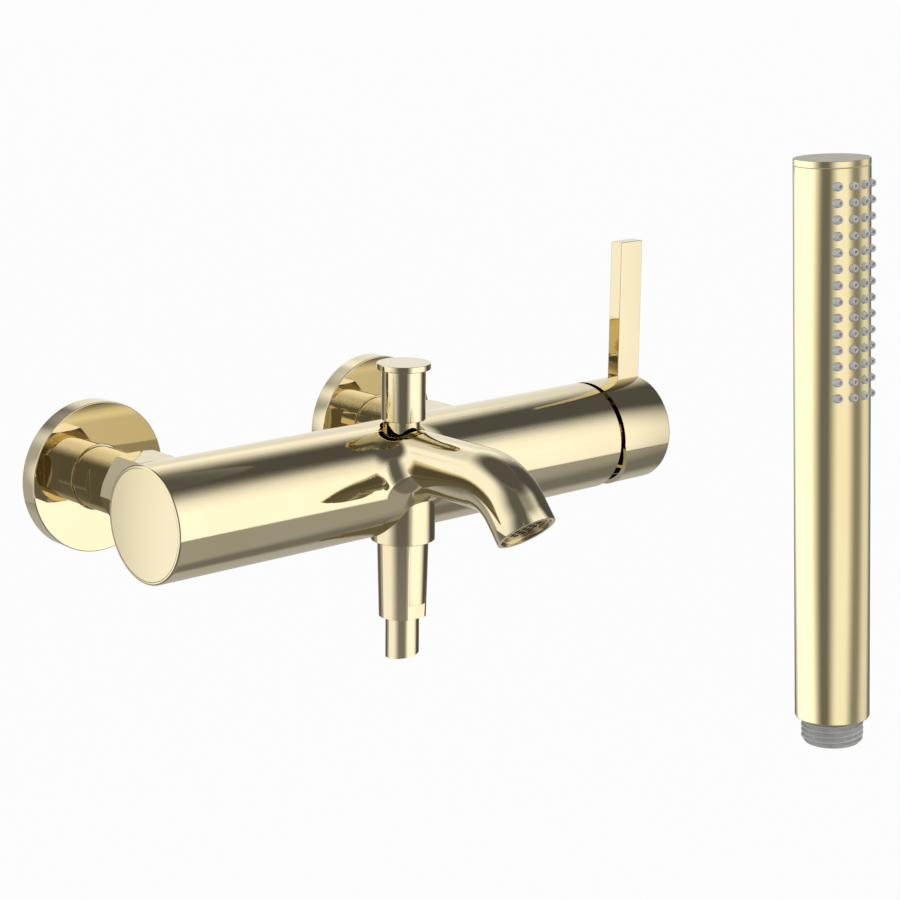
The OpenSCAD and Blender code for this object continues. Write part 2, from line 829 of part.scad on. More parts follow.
// The return spring is one tube swept along a helix, with closed flat ends
spring_foot = stem_foot + spring_wire_r + 2 * thread_play;
spring_h = bonnet_bottom - spring_foot - spring_wire_r - 2 * thread_play;
spring_sides = 6;
curl_rings = 8;
spring_rings = curl_rings * spring_curls;
function spring_point(k) =
  let (a = 360 * k / curl_rings)
  [spring_r * cos(a), spring_r * sin(a), spring_foot + spring_h * k / spring_rings];
function spring_ring(k) =
  let (a = 360 * k / curl_rings, p = spring_point(k))
  [for (i = [0 : spring_sides - 1])
    let (b = 360 * i / spring_sides)
    p + spring_wire_r * [cos(b) * cos(a), cos(b) * sin(a), sin(b)]];
spring_gap = spring_h / spring_curls - 2 * spring_wire_r;
echo(least_gap_between_spring_curls = spring_gap);

module diverter_spring() {
  rings = [for (k = [0 : spring_rings]) each spring_ring(k)];
  sides = [for (k = [0 : spring_rings - 1]) for (i = [0 : spring_sides - 1])
    let (j = (i + 1) % spring_sides, a = k * spring_sides, b = a + spring_sides)
    each [[a + i, a + j, b + i], [a + j, b + j, b + i]]];
  foot_face = [for (i = [spring_sides - 1 : -1 : 0]) i];
  top_face = [for (i = [0 : spring_sides - 1]) spring_rings * spring_sides + i];
  color(steel)
  at_column() polyhedron(points = rings, faces = concat(sides, [foot_face, top_face]));
}

// Shower outlet and the end of the hose

module shower_nipple() {
  color(brass)
  at_column() difference() {
    union() {
      translate([0, 0, -boss_bottom]) cylinder(r = bonnet_r, h = boss_bottom + nipple_thread_top);
      translate([0, 0, cone_top - hose_thread_len]) cylinder(r = hose_thread_r, h = hose_thread_len + cut);
    }
    translate([0, 0, cone_bottom]) cylinder(r = nipple_bore_r, h = cone_len + boss_bottom);
  }
}

module cone_nut() {
  shoulder = hose_seat - washer_t - hose_flange_t - 2 * thread_play;
  color(gold)
  at_column() difference() {
    translate([0, 0, cone_bottom]) cylinder(r1 = cone_bottom_d / 2, r2 = cone_top_d / 2, h = cone_len);
    translate([0, 0, shoulder]) cylinder(r = hose_thread_r + thread_play, h = cone_len);
    translate([0, 0, cone_bottom - cut]) cylinder(r = hose_end_r + run_play, h = cone_len);
    for (s = [-1, 1])
      translate([0, s * (cone_flats + boss_d) / 2, cone_bottom + cone_flats_h / 2])
        cube([boss_d, boss_d, cone_flats_h + eps], center = true);
  }
}

module hose_washer() {
  color(black_rubber)
  at_column(hose_seat - washer_t) tube(hose_thread_r - slip_play, nipple_bore_r + slip_play, washer_t + cut);
}

// The sleeve's foot is cut at a slant
module hose_end() {
  top = hose_seat - washer_t;
  low = cone_bottom - hose_end_len;
  spare = hose_end_d * tan(hose_end_slant) + cut;
  color(gold)
  at_column() difference() {
    union() {
      translate([0, 0, top - hose_flange_t]) cylinder(r = hose_flange_r, h = hose_flange_t);
      translate([0, 0, low - spare]) cylinder(r = hose_end_r, h = top - low + spare);
    }
    translate([0, 0, low - spare - cut])
      cylinder(r = hose_end_r - hose_end_wall, h = top - low + spare + 2 * cut);
    translate([0, 0, low]) rotate([0, 0, hose_end_slant_to]) rotate([0, -hose_end_slant, 0])
      translate([0, 0, -hose_end_d]) cube(2 * hose_end_d, center = true);
  }
}

// Aerator

module aerator_shell() {
  color(gold)
  at_spout_mouth() translate([0, 0, -aerator_recess - aerator_len])
    tube(aerator_r, aerator_hole_r, aerator_len);
}

// Honeycomb face: six-sided cells on a triangular grid
module aerator_insert() {
  rim = 0.8;
  web = 0.3;
  reach = aerator_hole_r - rim;
  rows = ceil(reach / cell_pitch) + 1;
  cell_r = (cell_pitch - web) / 2;
  color(dull_gold)
  at_spout_mouth() translate([0, 0, -aerator_recess - aerator_len]) difference() {
    cylinder(r = aerator_hole_r - thread_play, h = aerator_len - rim);
    for (i = [-rows : rows]) for (j = [-rows : rows])
      let (x = cell_pitch * (i + j / 2), y = cell_pitch * j * sin(60))
      if (norm([x, y]) + cell_r < reach)
        translate([x, y, -cut]) rotate(30) cylinder(r = cell_r, h = aerator_len + 2 * cut, $fn = 6);
  }
}

module aerator_washer() {
  color(black_rubber)
  at_spout_mouth() translate([0, 0, -aerator_recess - aerator_len - washer_t])
    tube(aerator_r - 2 * thread_play, aerator_hole_r - cut, washer_t);
}

// Handset

// Runs its child once for each nozzle, at the tube's surface and with the child's Z pointing
// outwards. All the nozzles point the same way, as they come out of one mould.
module each_nozzle() {
  for (row = [0 : nozzle_rows - 1]) for (col = [0 : nozzle_columns - 1])
    let (aside = nozzle_spread * col - columns_w / 2)
      at_handset(handset_top - nozzle_start - nozzle_pitch * row)
        rotate([0, 0, nozzle_facing]) translate([sqrt(pow(handset_r, 2) - pow(aside, 2)), aside, 0])
          rotate([0, 90, 0]) children();
}

module handset_tube() {
  color(gold)
  difference() {
    at_handset(handset_bottom) rounded_drum(handset_r, handset_len - end_cap_t - slip_play, 0.5, 0);
    at_handset(handset_bottom - cut) cylinder(r = handset_bore_r, h = handset_len + 2 * cut);
    each_nozzle() translate([0, 0, -nozzle_depth])
      cylinder(r = nozzle_r + thread_play, h = nozzle_depth + nozzle_out);
  }
}

module handset_end_cap() {
  color(gold)
  at_handset(handset_top - end_cap_t) {
    rounded_drum(handset_r, end_cap_t, 0, 0.3);
    translate([0, 0, -spigot_len]) cylinder(r = handset_bore_r - thread_play, h = spigot_len + eps);
  }
}

// A curved silicone mat with every nozzle moulded on, hollowed out for the inner channel
module nozzle_mat() {
  mat_edge = 4;
  span = 2 * (asin((columns_w / 2 + nozzle_r) / mat_r) + mat_edge);
  height = nozzle_pitch * (nozzle_rows - 1) + 2 * mat_margin;
  low = handset_top - nozzle_start - height + mat_margin;
  color(silicone)
  difference() {
    union() {
      at_handset(low) rotate([0, 0, nozzle_facing - span / 2])
        rotate_extrude(angle = span) square([mat_r, height]);
      each_nozzle() translate([0, 0, -nozzle_depth]) cylinder(r = nozzle_r, h = nozzle_depth);
      each_nozzle() translate([0, 0, -eps]) cylinder(r1 = nozzle_r, r2 = nozzle_tip_r, h = nozzle_out);
    }
    at_handset(low - cut) cylinder(r = mat_r - mat_t, h = height + 2 * cut);
    each_nozzle() translate([0, 0, -nozzle_depth]) cylinder(r = nozzle_hole_r, h = nozzle_depth + nozzle_out + cut);
  }
}

// The inner channel brings the water up from the tail and has a window behind the mat
module handset_core() {
  top = handset_top - end_cap_t - spigot_len;
  low = handset_bottom + tail_in;
  window = nozzle_pitch * (nozzle_rows - 1);
  color(white_plastic)
  difference() {
    at_handset(low) tube(core_r, core_r - core_wall, top - low);
    at_handset(handset_top - nozzle_start - window)
      rotate([0, 0, nozzle_facing]) translate([0, -window_w / 2, 0]) cube([handset_r, window_w, window]);
  }
}

module handset_tail() {
  color(grey_plastic)
  at_handset() difference() {
    union() {
      translate([0, 0, handset_bottom]) cylinder(r = handset_bore_r - thread_play, h = tail_in);
      translate([0, 0, handset_bottom - handset_thread_len])
        rounded_drum(wall_thread_r, handset_thread_len + cut, edge_round, 0);
    }
    translate([0, 0, handset_bottom - handset_thread_len - cut])
      cylinder(r = tail_bore_r, h = handset_thread_len + tail_in + 2 * cut);
    translate([0, 0, tail_groove_z]) tube(handset_r, tail_groove_r, groove_t);
  }
}

module handset_seal() {
  color(black_rubber)
  at_handset(tail_groove_z + thread_play)
    tube(handset_bore_r - thread_play, tail_groove_r + thread_play, groove_t - 2 * thread_play);
}

mixer_body();
end_plug();
wall_flange(-1);  // wall_flange_left
wall_flange(1);  // wall_flange_right
s_union(-1);  // s_union_left
s_union(1);  // s_union_right
union_nut(-1);  // union_nut_left
union_nut(1);  // union_nut_right
union_washer(-1);  // union_washer_left
union_washer(1);  // union_washer_right
inlet_nipple(-1);  // inlet_nipple_left
inlet_nipple(1);  // inlet_nipple_right
check_valve(-1);  // check_valve_left
check_valve(1);  // check_valve_right
cartridge_housing();
cartridge_base();
cartridge_seals();
fixed_disc();
retaining_nut();
cartridge_rotor();
tilt_pin();
moving_disc();
disc_carrier();
handle_cap();
lever();
handle_stem();
grub_screw();
diverter_bonnet();
bonnet_seal();
diverter_spring();
diverter_knob();
diverter_stem();
diverter_plate();
diverter_seals();
shower_nipple();
cone_nut();
hose_washer();
hose_end();
aerator_shell();
aerator_insert();
aerator_washer();
handset_tube();
handset_end_cap();
nozzle_mat();
handset_core();
handset_tail();
handset_seal();
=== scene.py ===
# A wall-mounted bath shower mixer with a loose bar handset, in mirror-polished pale gold.
import math

import bpy
from mathutils import Matrix, Vector
from mathutils.bvhtree import BVHTree
from mathutils.interpolate import poly_3d_calc


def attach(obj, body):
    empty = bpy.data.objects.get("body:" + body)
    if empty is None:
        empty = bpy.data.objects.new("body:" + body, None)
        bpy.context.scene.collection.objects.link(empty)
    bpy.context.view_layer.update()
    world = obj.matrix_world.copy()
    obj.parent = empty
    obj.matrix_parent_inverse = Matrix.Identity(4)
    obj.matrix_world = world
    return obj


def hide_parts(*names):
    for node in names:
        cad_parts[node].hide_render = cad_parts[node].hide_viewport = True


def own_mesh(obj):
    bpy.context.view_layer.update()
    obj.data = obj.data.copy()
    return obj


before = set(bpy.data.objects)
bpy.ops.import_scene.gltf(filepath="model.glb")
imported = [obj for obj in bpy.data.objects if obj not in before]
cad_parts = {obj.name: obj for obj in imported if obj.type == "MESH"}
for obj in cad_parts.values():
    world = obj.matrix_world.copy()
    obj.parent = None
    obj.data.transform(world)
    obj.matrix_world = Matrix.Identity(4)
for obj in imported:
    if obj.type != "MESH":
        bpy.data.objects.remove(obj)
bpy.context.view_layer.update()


# The camera
# It stands a metre from the mixer, in front of its closed end and a little above it, and looks
# slightly down, as in the photograph. A long lens keeps the perspective flat.
camera_place = Vector((-0.60179, -0.80400, 0.24031))
camera_azimuth = math.radians(-42.2)
camera_height = math.radians(13.55)
camera_roll = math.radians(0.63)
lens = bpy.data.cameras.new("camera")
lens.sensor_width = 36
lens.lens = 94.65
lens.clip_start = 0.05
camera = bpy.data.objects.new("camera", lens)
bpy.context.scene.collection.objects.link(camera)
camera.matrix_world = (
    Matrix.Translation(camera_place)
    @ Matrix.Rotation(camera_azimuth, 4, "Z")
    @ Matrix.Rotation(math.pi / 2 - camera_height, 4, "X")
    @ Matrix.Rotation(camera_roll, 4, "Z")
)
bpy.context.scene.camera = camera
bpy.context.scene.view_settings.view_transform = "Standard"


# The studio's walls and floor
# A white room, which the metal mirrors, with a pale floor under the wall that the mixer hangs on.
# The room's light on matt pieces is softer than its own white, so that they keep their shades. What
# polished metal mirrors shines brighter, because the metal gives back only three quarters of it.
room_light = 0.85
mirror_gain = 1.25
room_mirrored = 1.29
floor_height = -1.7
floor_size = 80
floor_white = 0.8
floor_shine = 0.92


def rays_of(tree):
    """A tree's light path, and 1 for rays from the camera, off polished metal or through clear stuff."""
    path = tree.nodes.new("ShaderNodeLightPath")
    seen = path.outputs["Is Camera Ray"]
    for kind in ("Is Glossy Ray", "Is Transmission Ray"):
        either = tree.nodes.new("ShaderNodeMath")
        either.operation = "MAXIMUM"
        tree.links.new(seen, either.inputs[0])
        tree.links.new(path.outputs[kind], either.inputs[1])
        seen = either.outputs[0]
    return path, seen


def mirrored_brighter(tree, path):
    """A strength of 1, or of what is linked to its last socket, that grows where metal mirrors it."""
    brighter = tree.nodes.new("ShaderNodeMath")
    brighter.operation = "MULTIPLY_ADD"
    brighter.inputs[1].default_value = room_mirrored - 1
    brighter.inputs[2].default_value = 1
    tree.links.new(path.outputs["Is Glossy Ray"], brighter.inputs[0])
    return brighter


def ranged(tree, low, high, share):
    """A value that runs from low to high with a share."""
    run = tree.nodes.new("ShaderNodeMapRange")
    run.inputs["To Min"].default_value = low
    run.inputs["To Max"].default_value = high
    tree.links.new(share, run.inputs["Value"])
    return run.outputs[0]


world = bpy.data.worlds.new("white_room")
bpy.context.scene.world = world
world.use_nodes = True
room = world.node_tree
room_path, room_seen = rays_of(room)
room_shine = mirrored_brighter(room, room_path)
room.links.new(ranged(room, room_light, 1, room_seen), room_shine.inputs[2])
room.nodes["Background"].inputs["Color"].default_value = (1, 1, 1, 1)
room.links.new(room_shine.outputs[0], room.nodes["Background"].inputs["Strength"])

floor_paint = bpy.data.materials.new("floor_paint")
floor_paint.use_nodes = True
paint = floor_paint.node_tree
floor_matt = paint.nodes["Principled BSDF"]
floor_matt.inputs["Base Color"].default_value = (floor_white, floor_white, floor_white, 1)
floor_matt.inputs["Roughness"].default_value = 0.9
floor_glow = paint.nodes.new("ShaderNodeEmission")
floor_path, floor_seen = rays_of(paint)
paint.links.new(mirrored_brighter(paint, floor_path).outputs[0], floor_glow.inputs["Strength"])
floor_mix = paint.nodes.new("ShaderNodeMixShader")
paint.links.new(ranged(paint, 0, floor_shine, floor_seen), floor_mix.inputs[0])
paint.links.new(floor_matt.outputs[0], floor_mix.inputs[1])
paint.links.new(floor_glow.outputs[0], floor_mix.inputs[2])
paint.links.new(floor_mix.outputs[0], paint.nodes["Material Output"].inputs["Surface"])
bpy.ops.object.select_all(action="DESELECT")
bpy.ops.mesh.primitive_plane_add(size=floor_size, location=(0, 0, floor_height))
floor = bpy.context.object
floor.name = "floor"
floor.data.materials.append(floor_paint)


# The studio's softboxes and flags
# Large cards stand round the mixer. Bright ones are softboxes, dark ones are black flags, and the
# polished gold shows them as its light and dark bands. They are seen in reflections only.
card_distance = 1.6
card_gap = 0.02
card_middle_y = -0.09


def bare_cloth(name):
    """A cloth with no finish yet, and its nodes and the place on it."""
    cloth = bpy.data.materials.new(name)
    cloth.use_nodes = True
    tree = cloth.node_tree
    tree.nodes.remove(tree.nodes["Principled BSDF"])
    place = tree.nodes.new("ShaderNodeUVMap")
    split = tree.nodes.new("ShaderNodeSeparateXYZ")
    tree.links.new(place.outputs[0], split.inputs[0])
    return cloth, tree, split


def both(tree, first, second):
    """One share times another."""
    product = tree.nodes.new("ShaderNodeMath")
    product.operation = "MULTIPLY"
    tree.links.new(first, product.inputs[0])
    tree.links.new(second, product.inputs[1])
    return product.outputs[0]


def lit(tree, glow, cover):
    """Ends a cloth's nodes: it glows as far as it is covered, and is clear elsewhere."""
    clear = tree.nodes.new("ShaderNodeBsdfTransparent")
    mix = tree.nodes.new("ShaderNodeMixShader")
    tree.links.new(cover, mix.inputs[0])
    tree.links.new(clear.outputs[0], mix.inputs[1])
    tree.links.new(glow.outputs[0], mix.inputs[2])
    tree.links.new(mix.outputs[0], tree.nodes["Material Output"].inputs["Surface"])


def card_cloth(name, light, fades):
    """A card's glow, which dies away over the given shares of its left, right, foot and top."""
    cloth, tree, split = bare_cloth(name)
    cover = None
    for axis, fade_from, fade_to in (("X", 0, fades[0]), ("X", 1, 1 - fades[1]),
                                     ("Y", 0, fades[2]), ("Y", 1, 1 - fades[3])):
        if fade_from == fade_to:
            continue
        edge = tree.nodes.new("ShaderNodeMapRange")
        edge.interpolation_type = "SMOOTHSTEP"
        edge.inputs["From Min"].default_value = fade_from
        edge.inputs["From Max"].default_value = fade_to
        tree.links.new(split.outputs[axis], edge.inputs["Value"])
        cover = both(tree, cover, edge.outputs[0]) if cover else edge.outputs[0]
    glow = tree.nodes.new("ShaderNodeEmission")
    glow.inputs["Strength"].default_value = light * mirror_gain
    lit(tree, glow, cover)
    return cloth


def board(name, place, cloth):
    """A card bent to shape. place gives the point for a share of its width and of its height."""
    bpy.ops.object.select_all(action="DESELECT")
    bpy.ops.mesh.primitive_grid_add(x_subdivisions=48, y_subdivisions=32, size=1)
    sheet = bpy.context.object
    sheet.name = name
    for corner in sheet.data.vertices:
        corner.co = place(corner.co.x + 0.5, corner.co.y + 0.5)
    sheet.data.materials.append(cloth)
    sheet.visible_camera = False
    sheet.visible_diffuse = False
    sheet.visible_shadow = False
    sheet.visible_transmission = False


def card(name, azimuths, heights, light, fades, layer=0, lean=0):
    """A large card far round the mixer. Azimuth 0 is in front and 90 at the handle's side, and both
    it and the height are in degrees. Its foot stands further round than its top by the lean."""
    distance = card_distance - card_gap * layer

    def place(across, up):
        azimuth = math.radians(azimuths[0] + (azimuths[1] - azimuths[0]) * across + lean * (1 - up))
        height = math.radians(heights[0] + (heights[1] - heights[0]) * up)
        return Vector((distance * math.sin(azimuth) * math.cos(height),
                       card_middle_y - distance * math.cos(azimuth) * math.cos(height),
                       distance * math.sin(height)))

    board(name, place, card_cloth(name, light, fades))


card("ceiling_flag", (-180, 180), (36, 90), 0.09, (0, 0, 0.55, 0))
card("ceiling_front", (-30, 100), (25, 75), 0.09, (0.3, 0.25, 0.95, 0), 1)
card("floor_flag", (-180, 180), (-90, -22.5), 0.17, (0, 0, 0, 0.02))
card("floor_front", (-6, 76), (-90, -22.5), 0.34, (0.2, 0.27, 0, 0.02), 1)
card("floor_back", (92, 220), (-90, -22.5), 0.4, (0.16, 0.2, 0, 0.02), 1)
card("wall_flag", (118, 178), (-24, 38), 0.78, (0.23, 0.26, 0, 0.2), 1)
card("right_flag", (40, 130), (-24, 60), 0.08, (0.3, 0.35, 0, 0), 2, lean=10)
card("front_flag", (-104, 6), (-60, 60), 0.115, (0.436, 0.31, 0.4, 0), 2)
card("back_flag", (-176, -141.3), (-24, 34), 0.4, (0.3, 0.127, 0, 0.3), 2)
card("back_dark", (156, 208), (-24, 50), 0.12, (0.3, 0.3, 0, 0.3), 3)
card("front_softbox", (-12, 56), (-22, 34), 1.17, (0.26, 0.3, 0.02, 0.3), 3)


# The handset's tent
# The handset stands in a narrow round tent, whose cloth is lit and flagged in upright bands. Only
# pieces inside the tent, nearer to its cloth than its reach, mirror it. The mixer looks through it.
tent_x = 0.0047
tent_y = -0.3236
tent_radius = 0.1
tent_reach = 0.14
tent_foot = -0.13
tent_top = 0.24
tent_brightest = 1.5
tent_bands = (
    (-144, -122, 1.45), (-78, -66, 0.16), (-31, -12, 1), (20, 27, 0.26), (56, 66, 0.78), (94, 149, 0.16),
    (194, 216, 1.45))
high_card = (100, 175, 0.4)
high_card_foot = 0.157
high_card_gap = 0.002


def tent_cloth(name, bands):
    """Cloth lit in upright bands, each given by the azimuths of its sides and its light."""
    cloth, tree, split = bare_cloth(name)
    dye = tree.nodes.new("ShaderNodeValToRGB")
    ramp = dye.color_ramp
    ramp.interpolation = "EASE"
    first, last = bands[0][0], bands[-1][1]
    for left, right, light in bands:
        shade = light / tent_brightest
        for azimuth in (left, right):
            at = (azimuth - first) / (last - first)
            stop = ramp.elements[-1] if azimuth == last else ramp.elements.new(at)
            stop.color = (shade, shade, shade, 1)
    ramp.elements.remove(ramp.elements[0])
    tree.links.new(split.outputs["X"], dye.inputs["Fac"])
    path = tree.nodes.new("ShaderNodeLightPath")
    near = tree.nodes.new("ShaderNodeMath")
    near.operation = "LESS_THAN"
    near.inputs[1].default_value = tent_reach
    tree.links.new(path.outputs["Ray Length"], near.inputs[0])
    side = tree.nodes.new("ShaderNodeNewGeometry")
    glow = tree.nodes.new("ShaderNodeEmission")
    glow.inputs["Strength"].default_value = tent_brightest * mirror_gain
    tree.links.new(dye.outputs["Color"], glow.inputs["Color"])
    lit(tree, glow, both(tree, near.outputs[0], side.outputs["Backfacing"]))
    return cloth


def tent_panel(name, bands, radius, foot):
    """A panel of the tent, as wide as its bands reach."""
    first, last = bands[0][0], bands[-1][1]

    def place(across, up):
        azimuth = math.radians(first + (last - first) * across)
        return Vector((tent_x + radius * math.sin(azimuth), tent_y - radius * math.cos(azimuth),
                       foot + (tent_top - foot) * up))

    board(name, place, tent_cloth(name, bands))


tent_panel("tent", tent_bands, tent_radius, tent_foot)
tent_panel("tent_high_card", (high_card,), tent_radius - high_card_gap, high_card_foot)

# Two soft lamps light the matt pieces, from the front left and from high up at the right.
for lamp_name, lamp_place, lamp_size, lamp_power in (
    ("left_lamp", (-1.2, -1.3, 0.9), 0.9, 10),
    ("top_lamp", (0.9, -0.9, 1.5), 1.1, 14),
):
    lamp_data = bpy.data.lights.new(lamp_name, "AREA")
    lamp_data.shape = "SQUARE"
    lamp_data.size = lamp_size
    lamp_data.energy = lamp_power
    lamp = bpy.data.objects.new(lamp_name, lamp_data)
    bpy.context.scene.collection.objects.link(lamp)
    towards = Vector((0, -0.15, 0)) - Vector(lamp_place)
    lamp.matrix_world = (
        Matrix.Translation(Vector(lamp_place)) @ towards.to_track_quat("-Z", "Y").to_matrix().to_4x4()
    )
    lamp.visible_glossy = False
    lamp.visible_camera = False


# The wall flanges
# Two thin round cups of brass, polished and plated pale gold, that slide along the unions and
# hide the holes in the wall. Their front edge is rounded, and the collar passes through with play.
mm = 0.001
inlet_x = 75
flange_radius = 31.5
flange_depth = 8.5
flange_wall = 1.5
flange_hole = 13.5
gold_light = (0.764, 0.676, 0.46, 1)
gold_deep = (0.748, 0.644, 0.412, 1)
cloud_detail = 4
grain_finer = 12
grain_height = 0.1


def mottled(name, scale, pale, dark, roughness, metallic=0.0, bump=0.0):
    """A finish whose colour, roughness and surface vary a little, in clouds of the given scale."""
    finish = bpy.data.materials.new(name)
    finish.use_nodes = True
    tree = finish.node_tree
    shader = tree.nodes["Principled BSDF"]
    shader.inputs["Metallic"].default_value = metallic
    place = tree.nodes.new("ShaderNodeTexCoord")
    clouds = tree.nodes.new("ShaderNodeTexNoise")
    clouds.inputs["Scale"].default_value = scale
    clouds.inputs["Detail"].default_value = cloud_detail
    tree.links.new(place.outputs["Object"], clouds.inputs["Vector"])
    tone = tree.nodes.new("ShaderNodeValToRGB")
    tone.color_ramp.elements[0].position = 0.3
    tone.color_ramp.elements[0].color = dark
    tone.color_ramp.elements[1].position = 0.7
    tone.color_ramp.elements[1].color = pale
    tree.links.new(clouds.outputs["Fac"], tone.inputs["Fac"])
    tree.links.new(tone.outputs["Color"], shader.inputs["Base Color"])
    tree.links.new(ranged(tree, *roughness, clouds.outputs["Fac"]), shader.inputs["Roughness"])
    if bump:
        fine = tree.nodes.new("ShaderNodeTexNoise")
        fine.inputs["Scale"].default_value = scale * grain_finer
        tree.links.new(place.outputs["Object"], fine.inputs["Vector"])
        relief = tree.nodes.new("ShaderNodeBump")
        relief.inputs["Strength"].default_value = bump
        relief.inputs["Distance"].default_value = grain_height * mm
        tree.links.new(fine.outputs["Fac"], relief.inputs["Height"])
        tree.links.new(relief.outputs[0], shader.inputs["Normal"])
    return finish


gold = mottled("polished_gold", 25, gold_light, gold_deep, (0.02, 0.05), metallic=1)


def turned(name, sides, outline, hollow=False):
    """A piece turned on a lathe about Z. The outline is a row of (along, radius) in millimetres:
    a disc is drawn out from its first station to its last, or a ring round a hollow piece's wall,
    whose outline ends where it began."""
    along, radius = outline[0]
    bpy.ops.object.select_all(action="DESELECT")
    bpy.ops.mesh.primitive_circle_add(
        vertices=sides, radius=radius * mm, location=(0, 0, along * mm),
        fill_type="NOTHING" if hollow else "NGON")
    piece = bpy.context.object
    piece.name = name
    bpy.ops.object.transform_apply(location=True, rotation=True, scale=True)
    bpy.ops.object.mode_set(mode="EDIT")
    bpy.ops.mesh.select_all(action="SELECT")
    for next_along, next_radius in outline[1:]:
        bpy.ops.mesh.extrude_region_move(
            TRANSFORM_OT_translate={"value": (0, 0, (next_along - along) * mm)})
        wider = next_radius / radius
        if wider != 1:
            bpy.ops.transform.resize(value=(wider, wider, 1), center_override=(0, 0, 0))
        along, radius = next_along, next_radius
    bpy.ops.mesh.select_all(action="SELECT")
    bpy.ops.mesh.remove_doubles(threshold=0.000001)
    bpy.ops.mesh.normals_make_consistent(inside=False)
    bpy.ops.object.mode_set(mode="OBJECT")
    return piece


def only(piece):
    """Selects one piece and nothing else."""
    bpy.ops.object.select_all(action="DESELECT")
    piece.select_set(True)
    bpy.context.view_layer.objects.active = piece


def shaded(piece, sharpest=30):
    """Shades a piece smoothly, up to its sharp edges."""
    only(piece)
    bpy.ops.object.shade_smooth_by_angle(angle=math.radians(sharpest))
    return piece


def block(at, size):
    """A plain block of the given size, with its middle in the given place."""
    bpy.ops.object.select_all(action="DESELECT")
    bpy.ops.mesh.primitive_cube_add(size=1)
    made = bpy.context.object
    made.matrix_world = at @ Matrix.Diagonal((size[0] * mm, size[1] * mm, size[2] * mm, 1))
    return made


def eased(piece, width, sharpest=30):
    """Breaks the sharp edges by a small rounding, and shades the faces evenly up to it."""
    only(piece)
    rounding = piece.modifiers.new("rounding", "BEVEL")
    rounding.width = width * mm
    rounding.segments = 3
    rounding.limit_method = "ANGLE"
    rounding.angle_limit = math.radians(sharpest)
    bpy.ops.object.modifier_apply(modifier="rounding")
    bpy.ops.object.shade_smooth()
    even = piece.modifiers.new("even", "WEIGHTED_NORMAL")
    even.weight = 100
    bpy.ops.object.modifier_apply(modifier="even")
    return piece


def placed(piece, at):
    """Puts a piece in its place, with the place in its mesh."""
    only(piece)
    piece.matrix_world = at
    bpy.ops.object.transform_apply(location=True, rotation=True, scale=True)
    return piece


def cut_away(piece, cutter, operation="DIFFERENCE"):
    """Cuts a piece with another one, or joins or trims them, and takes the other one away."""
    only(piece)
    saw = piece.modifiers.new("saw", "BOOLEAN")
    saw.operation = operation
    saw.solver = "EXACT"
    saw.object = cutter
    bpy.ops.object.modifier_apply(modifier="saw")
    bpy.data.objects.remove(cutter)
    return piece


def at_inlet(side):
    """The place of an inlet, whose axis runs from the wall outwards."""
    return Matrix.Translation((side * inlet_x * mm, 0, 0)) @ Matrix.Rotation(math.pi / 2, 4, "X")


for side, where in ((-1, "left"), (1, "right")):
    flange = turned(
        "flange_" + where, 160,
        [(0, flange_radius - flange_wall), (0, flange_radius), (flange_depth, flange_radius),
         (flange_depth, flange_hole), (flange_depth - flange_wall, flange_hole),
         (flange_depth - flange_wall, flange_radius - flange_wall), (0, flange_radius - flange_wall)],
        hollow=True)
    eased(flange, 0.45)
    placed(flange, at_inlet(side))
    flange.data.materials.append(gold)
    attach(flange, "mixer")
    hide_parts("wall_flange_" + where)


# The unions
# A cranked brass union screws into the pipe behind the wall. Its G1/2 thread sits below the collar
# that is seen in front of the flange, and the collar has two flats for the wrench.
collar_radius = 13.2
collar_end = 43
collar_flat = 11.2
collar_flat_from = 18.5
collar_flat_to = 33
saw_size = 20
pipe_thread_radius = 10.4775
pipe_thread_pitch = 1.814
pipe_thread_depth = 1.16
groove_slope = 1.6
groove_land = 0.25
thread_steps = 72
wall_thread_length = 18
union_drop = 5
union_bore = 7.5
crank_length = 5
crank_radius = (collar_radius + pipe_thread_radius + union_drop) / 2
crank_rise = (collar_radius - pipe_thread_radius - union_drop) / 2


def threaded(piece, radius, foot, top, pitch, depth):
    """Cuts a screw thread into the outer wall of a turned piece, with a chamfer at both ends."""
    for corner in piece.data.vertices:
        x, y, z = corner.co / mm
        if math.hypot(x, y) < radius - 0.01:
            continue
        turn = (z / pitch - math.atan2(y, x) / (2 * math.pi)) % 1
        groove = min(1, max(0, groove_slope * abs(2 * turn - 1) - groove_land))
        end = min(z - foot, top - z)
        groove = max(groove, min(1, 1 - end / depth))
        smaller = (radius - depth * groove) / radius
        corner.co.x *= smaller
        corner.co.y *= smaller
    return shaded(piece, 60)


def joined(name, pieces):
    """Makes several pieces one mesh."""
    bpy.ops.object.select_all(action="DESELECT")
    for piece in pieces:
        piece.select_set(True)
    bpy.context.view_layer.objects.active = pieces[0]
    bpy.ops.object.join()
    pieces[0].name = name
    return pieces[0]


